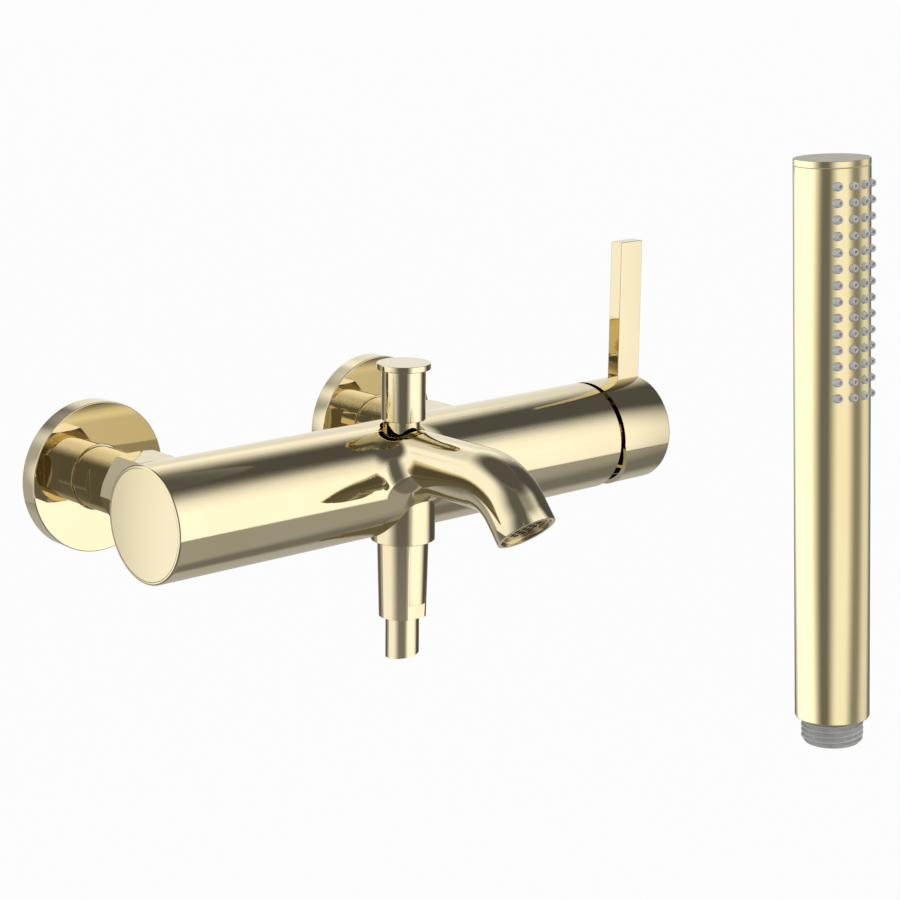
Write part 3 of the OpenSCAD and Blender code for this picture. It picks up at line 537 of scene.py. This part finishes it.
for side, where in ((-1, "left"), (1, "right")):
    stations = [(-wall_thread_length + wall_thread_length * k / thread_steps, pipe_thread_radius)
                for k in range(thread_steps + 1)]
    bored = [(0, union_bore), (-wall_thread_length, union_bore)]
    thread = turned("thread", 96, bored[1:] + stations + bored, hollow=True)
    threaded(thread, pipe_thread_radius, -wall_thread_length, 1, pipe_thread_pitch, pipe_thread_depth)
    placed(thread, Matrix.Translation((0, -union_drop * mm, 0)))
    crank = turned("crank", 96, [(-0.2, crank_radius), (crank_length, crank_radius)])
    eased(crank, 0.3)
    placed(crank, Matrix.Translation((0, crank_rise * mm, 0)))
    collar = turned("collar", 160, [(2, collar_radius), (collar_flat_from, collar_radius),
                                    (collar_flat_to, collar_radius), (collar_end, collar_radius)])
    for flat_side in (-1, 1):
        middle = Matrix.Translation((flat_side * (collar_flat + saw_size / 2) * mm, 0,
                                     (collar_flat_from + collar_flat_to) / 2 * mm))
        cut_away(collar, block(middle, (saw_size, 3 * saw_size, collar_flat_to - collar_flat_from)))
    eased(collar, 0.25)
    union = joined("union_" + where, [collar, crank, thread])
    placed(union, at_inlet(side))
    union.data.materials.append(gold)
    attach(union, "mixer")
    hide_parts("s_union_" + where)


# The union nuts
# A six-sided brass nut draws each union against the body. Its corners are turned off to a chamfer
# at both ends, and it is polished and plated as the body is.
nut_radius = 15 / math.cos(math.pi / 6)
nut_from = 33
nut_to = 57
nut_chamfer = 2
nut_bore = 9.9
nut_cup = 13.25
nut_shoulder = 48.4

for side, where in ((-1, "left"), (1, "right")):
    nut = turned("nut_" + where, 6, [(nut_from, nut_radius), (nut_to, nut_radius)])
    placed(nut, Matrix.Rotation(math.pi / 6, 4, "Z"))
    length = nut_to - nut_from
    trim = turned("trim", 160, [
        (nut_from, nut_radius - nut_chamfer), (nut_from + length / 2, nut_radius - nut_chamfer + length / 2),
        (nut_to, nut_radius - nut_chamfer)])
    cut_away(nut, trim, "INTERSECT")
    bore = turned("bore", 128, [(nut_from - 1, nut_cup), (nut_shoulder, nut_cup), (nut_shoulder, nut_bore),
                                (nut_to + 1, nut_bore)])
    cut_away(nut, bore)
    eased(nut, 0.2, 20)
    placed(nut, at_inlet(side))
    nut.data.materials.append(gold)
    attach(nut, "mixer")
    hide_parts("union_nut_" + where)


# The body casting
# A thick horizontal tube of cast brass with two inlet bosses behind, the shower outlet's boss
# below and the spout in front, which grows out of the tube in one smooth hollow curve. All of it
# is one piece, bored from its ends, ground, polished to a mirror and plated.
body_radius = 23.5
body_left = -104.3
body_right = 133
body_back = -82.3
end_rounding = 0.8
edge_chamfer = 0.3
rim_steps = 8
plug_seat_radius = 22.25
plug_seat_depth = 3
chamber_radius = 17.6
chamber_floor = 85
spout_x = 17.3
spout_rise = 10.3
spout_radius = 12.5
bend_start = -140.9
bend_radius = 24.1
bend_angle = math.radians(50.6)
spout_tip = 10.7
mouth_radius = 10.75
mouth_depth = 10.2
root_side = 12.0
root_under = 8.0
root_top = 2.0
column_y = -92.7
outlet_radius = 13.4
outlet_foot = -24.6
outlet_top = -6
inlet_boss_radius = 14
inlet_boss_from = 57.3
inlet_boss_to = 75
spout_sides = 192
root_steps = 28
root_ease = 0.6
root_room = 0.62
root_sink = 0.004
straight_steps = 12
bend_steps = 40
spout_rim = 0.25


def rounded_rim():
    """The rounding of an end's rim, from its face to its side, as (along, radius)."""
    rim_points = []
    for k in range(rim_steps + 1):
        turn = math.pi / 2 * k / rim_steps
        rim_points.append((end_rounding * (1 - math.cos(turn)),
                           body_radius - end_rounding * (1 - math.sin(turn))))
    return rim_points


def lying(along):
    """The place of a piece turned about the body's axis, with its start at the given x."""
    return Matrix.Translation((along * mm, body_back * mm, 0)) @ Matrix.Rotation(math.pi / 2, 4, "Y")


body_length = body_right - body_left
tube = turned("tube", 256, [
    (plug_seat_depth, plug_seat_radius), (0, plug_seat_radius)] + rounded_rim() + [
    (body_length - edge_chamfer, body_radius), (body_length, body_radius - edge_chamfer),
    (body_length, chamber_radius), (chamber_floor - body_left, chamber_radius)])
placed(shaded(tube), lying(body_left))


def tube_front(height):
    """How far in front the tube's surface lies at a height."""
    return body_back - math.sqrt(max(0, body_radius ** 2 - height ** 2))


def root_curve(turn, steps):
    """The hollow curve from the tube's surface to the spout's side, at an angle about the spout.
    It leaves both of them along their own surfaces. Gives (radius, y) from the tube outwards."""
    side = math.sin(turn) ** 2
    low = root_under if math.cos(turn) < 0 else root_top
    reach = low + (root_side - low) * side
    width = reach
    if math.cos(turn) > 0.001:
        room = (body_radius - spout_rise) / math.cos(turn) - spout_radius
        width = (reach ** -3 + (root_room * room) ** -3) ** (-1 / 3)
    outer = spout_radius + width
    height = spout_rise + outer * math.cos(turn)
    y_outer = tube_front(height)
    slope = height * math.cos(turn) / math.sqrt(body_radius ** 2 - height ** 2)
    y_inner = min(tube_front(spout_rise + spout_radius * math.cos(turn)), y_outer - slope * width) - reach
    corner = (spout_radius, y_outer - slope * width)
    start = (outer, y_outer)
    end = (spout_radius, y_inner)
    first, second = (tuple(e + root_ease * (c - e) for e, c in zip(point, corner)) for point in (start, end))
    points = []
    for k in range(steps + 1):
        t = k / steps
        weights = ((1 - t) ** 3, 3 * t * (1 - t) ** 2, 3 * t ** 2 * (1 - t), t ** 3)
        points.append(tuple(sum(w * p[i] for w, p in zip(weights, (start, first, second, end)))
                            for i in range(2)))
    return points


angles = [2 * math.pi * k / spout_sides for k in range(spout_sides)]


def level_ring(points):
    """A ring about the spout's level part, from a radius and a y for each angle."""
    return [Vector(((spout_x + radius * math.sin(turn)) * mm, y * mm,
                    (spout_rise + radius * math.cos(turn)) * mm))
            for turn, (radius, y) in zip(angles, points)]


def bent_ring(radius, lean, centre):
    """A ring about the spout's path, whose upright leans back by the bend's angle."""
    ring = []
    for turn in angles:
        up = radius * math.cos(turn)
        ring.append(Vector(((spout_x + radius * math.sin(turn)) * mm,
                            (centre[0] - up * math.sin(lean)) * mm,
                            (centre[1] + up * math.cos(lean)) * mm)))
    return ring


def on_bend(share, beyond=0.0):
    """(y, z) on the spout's axis at a share of the bend, or beyond its end."""
    lean = bend_angle * share
    y = bend_start - bend_radius * math.sin(lean) - beyond * math.cos(lean)
    z = spout_rise - bend_radius * (1 - math.cos(lean)) - beyond * math.sin(lean)
    return y, z


# The rings start inside the tube, so that the spout and the tube overlap where they are joined.
curves = [root_curve(turn, root_steps) for turn in angles]
rings = [bent_ring(spout_radius - 1, 0, (body_back - 2, spout_rise)),
         level_ring([(curve[0][0] - 0.2, curve[0][1] + 1.5) for curve in curves])]
for k in range(root_steps + 1):
    sink = root_sink * max(0, 1 - k / 3)
    rings.append(level_ring([(curve[k][0], curve[k][1] + sink) for curve in curves]))
for k in range(1, straight_steps + 1):
    rings.append(level_ring([
        (spout_radius, curve[-1][1] + (bend_start - curve[-1][1]) * k / straight_steps) for curve in curves]))
for k in range(1, bend_steps + 1):
    rings.append(bent_ring(spout_radius, bend_angle * k / bend_steps, on_bend(k / bend_steps)))
for beyond, radius in (
    (spout_tip / 2, spout_radius),
    (spout_tip - spout_rim, spout_radius),
    (spout_tip - 0.3 * spout_rim, spout_radius - 0.3 * spout_rim),
    (spout_tip, spout_radius - spout_rim),
    (spout_tip, mouth_radius + spout_rim),
    (spout_tip - spout_rim, mouth_radius),
    (spout_tip - mouth_depth, mouth_radius),
):
    rings.append(bent_ring(radius, bend_angle, on_bend(1, beyond)))


def lofted(name, rings):
    """A closed skin over a row of rings that have equally many corners."""
    count = len(rings[0])
    faces = [tuple(range(count - 1, -1, -1))]
    for k in range(len(rings) - 1):
        for i in range(count):
            j = (i + 1) % count
            faces.append((k * count + i, k * count + j, (k + 1) * count + j, (k + 1) * count + i))
    faces.append(tuple(range((len(rings) - 1) * count, len(rings) * count)))
    mesh = bpy.data.meshes.new(name)
    mesh.from_pydata([corner for ring in rings for corner in ring], [], faces)
    piece = bpy.data.objects.new(name, mesh)
    bpy.context.scene.collection.objects.link(piece)
    only(piece)
    bpy.ops.object.mode_set(mode="EDIT")
    bpy.ops.mesh.select_all(action="SELECT")
    bpy.ops.mesh.normals_make_consistent(inside=False)
    bpy.ops.object.mode_set(mode="OBJECT")
    return shaded(piece)


spout = lofted("spout", rings)
at_column = Matrix.Translation((spout_x * mm, column_y * mm, 0))
outlet = turned("outlet", 160, [
    (outlet_foot, outlet_radius - edge_chamfer), (outlet_foot + edge_chamfer, outlet_radius),
    (outlet_top, outlet_radius)])
placed(shaded(outlet), at_column)
bosses = []
for side in (-1, 1):
    boss = turned("boss", 160, [
        (inlet_boss_from, inlet_boss_radius - edge_chamfer),
        (inlet_boss_from + edge_chamfer, inlet_boss_radius), (inlet_boss_to, inlet_boss_radius)])
    bosses.append(placed(shaded(boss), at_inlet(side)))


def skin_of(pieces):
    """The smooth surfaces of some pieces, kept to tell how the finished casting is shaded."""
    corners = []
    faces = []
    normals = []
    for piece in pieces:
        start = len(corners)
        corners += [vertex.co.copy() for vertex in piece.data.vertices]
        for face in piece.data.polygons:
            faces.append([start + v for v in face.vertices])
            normals.append([piece.data.corner_normals[c].vector.copy() for c in face.loop_indices])
    return BVHTree.FromPolygons(corners, faces), corners, faces, normals


def polished(piece, skin):
    """Shades a cut piece exactly as its smooth surfaces were before the cuts."""
    tree, corners, faces, normals = skin
    mesh = piece.data
    shading = [corner.vector.copy() for corner in mesh.corner_normals]
    for face in mesh.polygons:
        middle = tree.find_nearest(face.center)
        if middle[0] is None or abs(middle[1].dot(face.normal)) < 0.9:
            continue
        for c in face.loop_indices:
            spot = mesh.vertices[mesh.loops[c].vertex_index].co
            near, normal, index, gap = tree.find_nearest(spot)
            if gap > 0.00002 or normal.dot(face.normal) < 0.9:
                continue
            shares = poly_3d_calc([corners[v] for v in faces[index]], near)
            smooth = sum((n * s for n, s in zip(normals[index], shares)), Vector())
            shading[c] = smooth.normalized()
    mesh.normals_split_custom_set(shading)
    return piece


skin = skin_of([tube, spout, outlet] + bosses)
body = tube
for part in [spout, outlet] + bosses:
    cut_away(body, part, "UNION")

# One stepped drill opens the diverter's way from the boss below to the recess on top.
nipple_bore = 9.25
nipple_seat = -15
passage_radius = 5.2
valve_foot = -12
valve_radius = 8
valve_top = 2
neck_seat = 12.2
neck_bore = 9.25
recess_foot = 17.2
recess_radius = 9.7
drill = turned("drill", 160, [
    (outlet_foot - 1.4, nipple_bore), (nipple_seat, nipple_bore), (nipple_seat, passage_radius),
    (valve_foot, passage_radius), (valve_foot, valve_radius), (valve_top, valve_radius),
    (valve_top, passage_radius), (neck_seat, passage_radius), (neck_seat, neck_bore),
    (recess_foot, neck_bore), (recess_foot, recess_radius), (30, recess_radius)])
placed(drill, at_column)
cut_away(body, drill)
body.name = "body"
polished(shaded(body), skin)
body.data.materials.clear()
body.data.materials.append(gold)
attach(body, "mixer")
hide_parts("mixer_body")


# The closing disc
# A flat polished disc closes the body's left end. It is pressed into its seat, and only a hairline
# shows round it.
plug_radius = 22.2
plug_nose_radius = 16
plug_nose_end = 12.7
plug = turned("closing_disc", 192, [
    (0, plug_radius), (plug_seat_depth, plug_radius), (plug_seat_depth, plug_nose_radius),
    (plug_nose_end, plug_nose_radius)])
eased(plug, 0.25)
placed(plug, lying(body_left))
plug.data.materials.append(gold)
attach(plug, "mixer")
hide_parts("end_plug")


# The diverter's neck and knob
# The neck screws into the recess on top of the body and guides the knob. The knob is a plain
# barrel with a thin wider disc on top, which the fingers lift to send the water to the handset.
neck_radius = 6.75
neck_top = 35
neck_collar_radius = 9.2
neck_collar_top = 17
stem_bore = 3.07
knob_radius = 9.1
knob_foot = 26
knob_disc_from = 47
knob_disc_radius = 11.15
knob_top = 49.5
knob_bore_radius = 6.82
knob_bore_top = 39

neck = turned("diverter_neck", 128, [
    (neck_seat, stem_bore), (neck_seat, neck_collar_radius), (neck_collar_top, neck_collar_radius),
    (neck_collar_top, neck_radius), (neck_top, neck_radius), (neck_top, stem_bore),
    (neck_seat, stem_bore)], hollow=True)
eased(neck, 0.25)
placed(neck, at_column)
neck.data.materials.append(gold)
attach(neck, "mixer")
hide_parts("diverter_bonnet")

knob = turned("diverter_knob_shell", 160, [
    (knob_bore_top, knob_bore_radius), (knob_foot, knob_bore_radius), (knob_foot, knob_radius),
    (knob_disc_from, knob_radius), (knob_disc_from, knob_disc_radius), (knob_top, knob_disc_radius)])
eased(knob, 0.3)
placed(knob, at_column)
knob.data.materials.append(gold)
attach(knob, "diverter")
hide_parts("diverter_knob")


# The hose's nut and end sleeve
# A slim cone nut screws the shower hose to the outlet. Two short flats at its foot take a wrench.
# The sleeve that comes out of it is the hose's own end, a thin tube cut at a slant.
cone_top = -25
cone_foot = -57.4
cone_top_radius = 10.75
cone_foot_radius = 9.95
cone_bore = 7.17
cone_flat = 9
cone_flat_height = 6
cone_room = 8.47
cone_room_foot = -38.4
sleeve_radius = 7.1
sleeve_bore = 5.5
sleeve_foot = -74.3
sleeve_top = -37.2
sleeve_uncut = -90
sleeve_slant = math.radians(8)
sleeve_slant_to = math.radians(-19)

nut = turned("hose_nut", 160, [
    (cone_foot, cone_bore), (cone_foot, cone_foot_radius), (cone_top, cone_top_radius), (cone_top, cone_room),
    (cone_room_foot, cone_room), (cone_room_foot, cone_bore), (cone_foot, cone_bore)], hollow=True)
for flat_side in (-1, 1):
    middle = Matrix.Translation((0, flat_side * (cone_flat + saw_size / 2) * mm,
                                 (cone_foot + cone_flat_height - saw_size / 2) * mm))
    cut_away(nut, block(middle, (3 * saw_size, saw_size, saw_size)))
eased(nut, 0.25)
placed(nut, at_column)
nut.data.materials.append(gold)
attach(nut, "mixer")
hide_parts("cone_nut")

sleeve = turned("hose_sleeve", 128, [
    (sleeve_uncut, sleeve_bore), (sleeve_uncut, sleeve_radius), (sleeve_top, sleeve_radius),
    (sleeve_top, sleeve_bore), (sleeve_uncut, sleeve_bore)], hollow=True)
only(sleeve)
bpy.ops.object.mode_set(mode="EDIT")
bpy.ops.mesh.select_all(action="SELECT")
bpy.ops.mesh.bisect(
    plane_co=(0, 0, sleeve_foot * mm),
    plane_no=(-math.sin(sleeve_slant) * math.cos(sleeve_slant_to),
              -math.sin(sleeve_slant) * math.sin(sleeve_slant_to), math.cos(sleeve_slant)),
    clear_inner=True, use_fill=True)
bpy.ops.object.mode_set(mode="OBJECT")
eased(sleeve, 0.2)
placed(sleeve, at_column)
sleeve.data.materials.append(gold)
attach(sleeve, "hose")
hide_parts("hose_end")


# The handle
# A hollow cap of the body's own width turns at the body's right end, with a hub inside that sits
# on the cartridge's stem. Its rim is cut back underneath, so that it can tilt. A flat bar stands
# on it as the lever. Both are brass, polished and plated.
cap_from = 135.5
cap_length = 28.8
cap_inner = 21.7
cap_end_wall = 2.5
hub_radius = 8
hub_from = 6
hub_sunk = 0.2
rim_cut_height = -1
rim_cut_slant = math.radians(19)
lever_from = 150.7
lever_to = 164.0
lever_half = 3.2
lever_foot = 22.6
lever_top = 85.2

cap_round = [(cap_length - along, radius) for along, radius in reversed(rounded_rim())]
cap = turned("handle_shell", 256, [
    (cap_length - cap_end_wall, cap_inner), (0, cap_inner), (0, body_radius)] + cap_round)
placed(cap, lying(cap_from))
skin = skin_of([shaded(cap)])
cut_away(cap, block(
    Matrix.Translation((cap_from * mm, body_back * mm, rim_cut_height * mm))
    @ Matrix.Rotation(-rim_cut_slant, 4, "Y")
    @ Matrix.Translation((-25 * mm, 0, -50 * mm)), (50, 100, 100)))
polished(shaded(cap), skin)
hub = turned("hub", 96, [(cap_length - cap_end_wall + hub_sunk, hub_radius), (hub_from, hub_radius)])
eased(hub, 0.3)
placed(hub, lying(cap_from))
cap = joined("handle_shell", [cap, hub])
cap.data.materials.append(gold)
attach(cap, "handle")
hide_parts("handle_cap")

bar = block(
    Matrix.Translation(((lever_from + lever_to) / 2 * mm, body_back * mm, (lever_foot + lever_top) / 2 * mm)),
    (lever_to - lever_from, 2 * lever_half, lever_top - lever_foot))
bar.name = "lever_bar"
only(bar)
bpy.ops.object.transform_apply(location=True, rotation=True, scale=True)
eased(bar, 0.3)
bar.data.materials.append(gold)
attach(bar, "handle")
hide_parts("lever")


# The aerator
# A thin brass shell screws into the spout's mouth and holds the honeycomb that breaks the jet.
# The honeycomb is the frame's own piece, in satin gold.
shell_radius = 10.7
shell_bore = 9.3
shell_recess = 1.2
shell_length = 7
mouth_y, mouth_z = on_bend(1, spout_tip)
at_mouth = (Matrix.Translation((spout_x * mm, mouth_y * mm, mouth_z * mm))
            @ Matrix.Rotation(math.pi / 2 + bend_angle, 4, "X"))

shell_end = -shell_recess - shell_length
shell = turned("aerator_ring", 128, [
    (shell_end, shell_bore), (shell_end, shell_radius), (-shell_recess, shell_radius),
    (-shell_recess, shell_bore), (shell_end, shell_bore)], hollow=True)
eased(shell, 0.25)
placed(shell, at_mouth)
shell.data.materials.append(gold)
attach(shell, "mixer")
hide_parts("aerator_shell")

satin_gold = mottled("satin_gold", 400, (0.62, 0.5, 0.3, 1), (0.42, 0.32, 0.18, 1), (0.22, 0.4),
                     metallic=1, bump=0.15)
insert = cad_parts["aerator_insert"]
insert.data.materials.clear()
insert.data.materials.append(satin_gold)


# The handset
# A straight brass tube, polished and plated, with rows of holes that the nozzles come through. A
# thin disc closes its top, with a hairline seam below it.
handset_middle = Matrix.Translation((4.7 * mm, -323.6 * mm, 60.05 * mm))
lean = math.radians(2.75)
lean_to = math.radians(129)
at_handset = (handset_middle @ Matrix.Rotation(lean_to, 4, "Z") @ Matrix.Rotation(lean, 4, "Y")
              @ Matrix.Rotation(-lean_to, 4, "Z"))
half_length = 94.65
tube_radius = 12.6
tube_bore = 11.1
disc_thickness = 2.1
seam = 0.2
seam_chamfer = 0.1
foot_rounding = 0.5
disc_neck = 2.6
disc_neck_radius = 11.05
nozzle_rows = 14
nozzle_pitch = 5.3
nozzle_from_top = 8
nozzle_columns = 4
nozzle_spread = 4.8
nozzle_facing = math.radians(262)
nozzle_foot_radius = 1.42
nozzle_tip_radius = 1.1
nozzle_stands_out = 1.5
nozzle_hole = 0.6
drill_play = 0.1
drill_depth = 4.5


def nozzle_places():
    """Every nozzle's place at the tube's surface, with Z pointing outwards. All point the same way."""
    for row in range(nozzle_rows):
        up = half_length - nozzle_from_top - nozzle_pitch * row
        for column in range(nozzle_columns):
            aside = nozzle_spread * (column - (nozzle_columns - 1) / 2)
            deep = math.sqrt(tube_radius ** 2 - aside ** 2)
            yield (Matrix.Rotation(nozzle_facing, 4, "Z")
                   @ Matrix.Translation((deep * mm, aside * mm, up * mm))
                   @ Matrix.Rotation(math.pi / 2, 4, "Y"))


tube_end = half_length - disc_thickness - seam
tube = turned("handset_shell", 192, [
    (-half_length, tube_bore), (-half_length, tube_radius - foot_rounding),
    (-half_length + 0.3 * foot_rounding, tube_radius - 0.3 * foot_rounding),
    (-half_length + foot_rounding, tube_radius), (tube_end - seam_chamfer, tube_radius),
    (tube_end, tube_radius - seam_chamfer), (tube_end, tube_bore), (-half_length, tube_bore)], hollow=True)
skin = skin_of([shaded(tube, 50)])
drill_radius = nozzle_foot_radius + drill_play
drills = []
for at in nozzle_places():
    drill = turned("drill", 32, [(-drill_depth, drill_radius), (nozzle_stands_out + 0.5, drill_radius)])
    drills.append(placed(drill, at))
cut_away(tube, joined("drills", drills))
polished(shaded(tube, 50), skin)
placed(tube, at_handset)
handset_gold = mottled(
    "handset_gold", 25, (0.764, 0.66, 0.392, 1), (0.748, 0.636, 0.364, 1), (0.02, 0.05), metallic=1)
tube.data.materials.append(handset_gold)
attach(tube, "handset")
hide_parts("handset_tube")

disc_from = half_length - disc_thickness
disc = turned("handset_disc", 192, [
    (disc_from - disc_neck, disc_neck_radius), (disc_from, disc_neck_radius), (disc_from, tube_radius),
    (half_length, tube_radius)])
eased(disc, 0.2)
placed(disc, at_handset)
disc.data.materials.append(handset_gold)
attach(disc, "handset")
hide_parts("handset_end_cap")


# The nozzles
# A curved mat of grey silicone lies inside the tube, with fifty-six small blunt nozzles moulded on
# it that come out through the holes. Each has a round hole for its jet.
silicone = mottled("grey_silicone", 300, (0.4, 0.4, 0.4, 1), (0.33, 0.33, 0.33, 1), (0.45, 0.6), bump=0.1)
mat_outer = 11.05
mat_inner = 10.05
mat_margin = 3
mat_edge = math.radians(4)
mat_steps = 40
nozzle_depth = 3
hole_depth = 1.2
hole_narrowing = 0.8
pattern = turned("nozzle", 24, [
    (-nozzle_depth, nozzle_foot_radius), (0, nozzle_foot_radius), (nozzle_stands_out, nozzle_tip_radius),
    (nozzle_stands_out, nozzle_hole), (nozzle_stands_out - hole_depth, nozzle_hole * hole_narrowing)])
eased(pattern, 0.18)
nozzles = []
for at in nozzle_places():
    nozzle = pattern.copy()
    nozzle.data = pattern.data.copy()
    bpy.context.scene.collection.objects.link(nozzle)
    nozzles.append(placed(nozzle, at))
bpy.data.objects.remove(pattern)
mat_reach = nozzle_spread * (nozzle_columns - 1) / 2 + nozzle_foot_radius
mat_half_span = math.asin(mat_reach / mat_outer) + mat_edge
mat_height = nozzle_pitch * (nozzle_rows - 1) + 2 * mat_margin
mat_middle = half_length - nozzle_from_top + mat_margin - mat_height / 2
bpy.ops.object.select_all(action="DESELECT")
bpy.ops.mesh.primitive_plane_add(size=1)
mat = bpy.context.object
bpy.ops.object.mode_set(mode="EDIT")
bpy.ops.mesh.select_all(action="SELECT")
bpy.ops.transform.resize(value=((mat_outer - mat_inner) * mm, mat_height * mm, 1))
bpy.ops.transform.rotate(value=math.pi / 2, orient_axis="X", center_override=(0, 0, 0))
bpy.ops.transform.translate(value=((mat_outer + mat_inner) / 2 * mm, 0, mat_middle * mm))
bpy.ops.mesh.spin(steps=mat_steps, angle=2 * mat_half_span, center=(0, 0, 0), axis=(0, 0, 1))
bpy.ops.mesh.select_all(action="SELECT")
bpy.ops.mesh.normals_make_consistent(inside=False)
bpy.ops.object.mode_set(mode="OBJECT")
placed(mat, Matrix.Rotation(nozzle_facing + mat_half_span, 4, "Z"))
nozzle_set = joined("nozzles", [shaded(mat)] + nozzles)
placed(nozzle_set, at_handset)
nozzle_set.data.materials.clear()
nozzle_set.data.materials.append(silicone)
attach(nozzle_set, "handset")
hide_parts("nozzle_mat")


# The handset's thread
# The tail is moulded grey plastic. It is glued into the tube, and its G1/2 thread takes the hose.
tail_foot = -half_length - 9
tail_end = -half_length + 12
tail_bore = 7
tail_stations_run = 9.2
tail_steps = 48
tail_thread_end = -half_length + 1.4
grey_plastic = mottled(
    "grey_plastic", 200, (0.37, 0.37, 0.36, 1), (0.29, 0.29, 0.28, 1), (0.35, 0.5), bump=0.1)
stations = [(tail_foot + tail_stations_run * k / tail_steps, pipe_thread_radius)
            for k in range(tail_steps + 1)]
tail = turned("handset_thread", 128, [(tail_foot, tail_bore)] + stations + [
    (tail_end, pipe_thread_radius), (tail_end, tail_bore), (tail_foot, tail_bore)], hollow=True)
threaded(tail, pipe_thread_radius, tail_foot, tail_thread_end, pipe_thread_pitch, pipe_thread_depth)
placed(tail, at_handset)
tail.data.materials.append(grey_plastic)
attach(tail, "handset")
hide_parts("handset_tail")

# The handset was photographed by itself, so the mixer doesn't mirror it.
for piece in (tube, disc, nozzle_set, tail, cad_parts["handset_core"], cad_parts["handset_seal"]):
    piece.visible_glossy = False


# The diverter's spring
# The return spring is wound of steel wire round the stem. It stands on the diverter's upper seal,
# under the neck, and is pressed together as the knob lifts.
spring_radius = 4
spring_wire = 0.45
spring_curls = 6
spring_foot = -7.39
spring_top = 11.59
wire_sides = 12
curl_steps = 48
ground_steel = mottled(
    "ground_steel", 500, (0.58, 0.58, 0.57, 1), (0.48, 0.48, 0.47, 1), (0.2, 0.35), metallic=1, bump=0.1)

bpy.ops.object.select_all(action="DESELECT")
bpy.ops.mesh.primitive_circle_add(
    vertices=wire_sides, radius=spring_wire * mm, location=(spring_radius * mm, 0, spring_foot * mm),
    rotation=(math.radians(90), 0, 0))
spring = bpy.context.object
spring.name = "return_spring"
bpy.ops.object.transform_apply(location=True, rotation=True, scale=True)
winding = spring.modifiers.new("winding", "SCREW")
winding.angle = math.radians(360)
winding.screw_offset = (spring_top - spring_foot) / spring_curls * mm
winding.iterations = spring_curls
winding.steps = curl_steps
winding.render_steps = curl_steps
bpy.ops.object.modifier_apply(modifier="winding")
bpy.ops.object.mode_set(mode="EDIT")
bpy.ops.mesh.select_all(action="SELECT")
bpy.ops.mesh.fill_holes(sides=wire_sides)
bpy.ops.mesh.normals_make_consistent(inside=False)
bpy.ops.object.mode_set(mode="OBJECT")
placed(spring, at_column)
spring.data.materials.append(ground_steel)
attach(spring, "mixer")
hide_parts("diverter_spring")
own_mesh(spring)


# The pieces inside
# The cartridge, valves, stems, seals and washers stay as the frame has them, each in its own
# finish: raw turned brass, ground steel, moulded plastic, lapped ceramic and rubber.
inside = (
    (mottled("raw_brass", 300, (0.62, 0.44, 0.18, 1), (0.5, 0.34, 0.13, 1), (0.25, 0.4), metallic=1,
             bump=0.1),
     ("inlet_nipple_left", "inlet_nipple_right", "retaining_nut", "diverter_plate", "shower_nipple")),
    (ground_steel, ("tilt_pin", "handle_stem", "grub_screw", "diverter_stem")),
    (mottled("white_plastic", 200, (0.8, 0.8, 0.77, 1), (0.72, 0.72, 0.69, 1), (0.4, 0.55), bump=0.08),
     ("check_valve_left", "check_valve_right", "cartridge_housing", "cartridge_base", "cartridge_rotor",
      "disc_carrier", "handset_core")),
    (mottled("lapped_ceramic", 300, (0.86, 0.84, 0.78, 1), (0.8, 0.78, 0.72, 1), (0.1, 0.2)),
     ("fixed_disc", "moving_disc")),
    (mottled("black_rubber", 300, (0.03, 0.03, 0.032, 1), (0.018, 0.018, 0.02, 1), (0.5, 0.7), bump=0.1),
     ("union_washer_left", "union_washer_right", "cartridge_seals", "bonnet_seal", "diverter_seals",
      "hose_washer", "aerator_washer", "handset_seal")),
)
for finish, names in inside:
    for name in names:
        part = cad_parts[name]
        part.data.materials.clear()
        part.data.materials.append(finish)
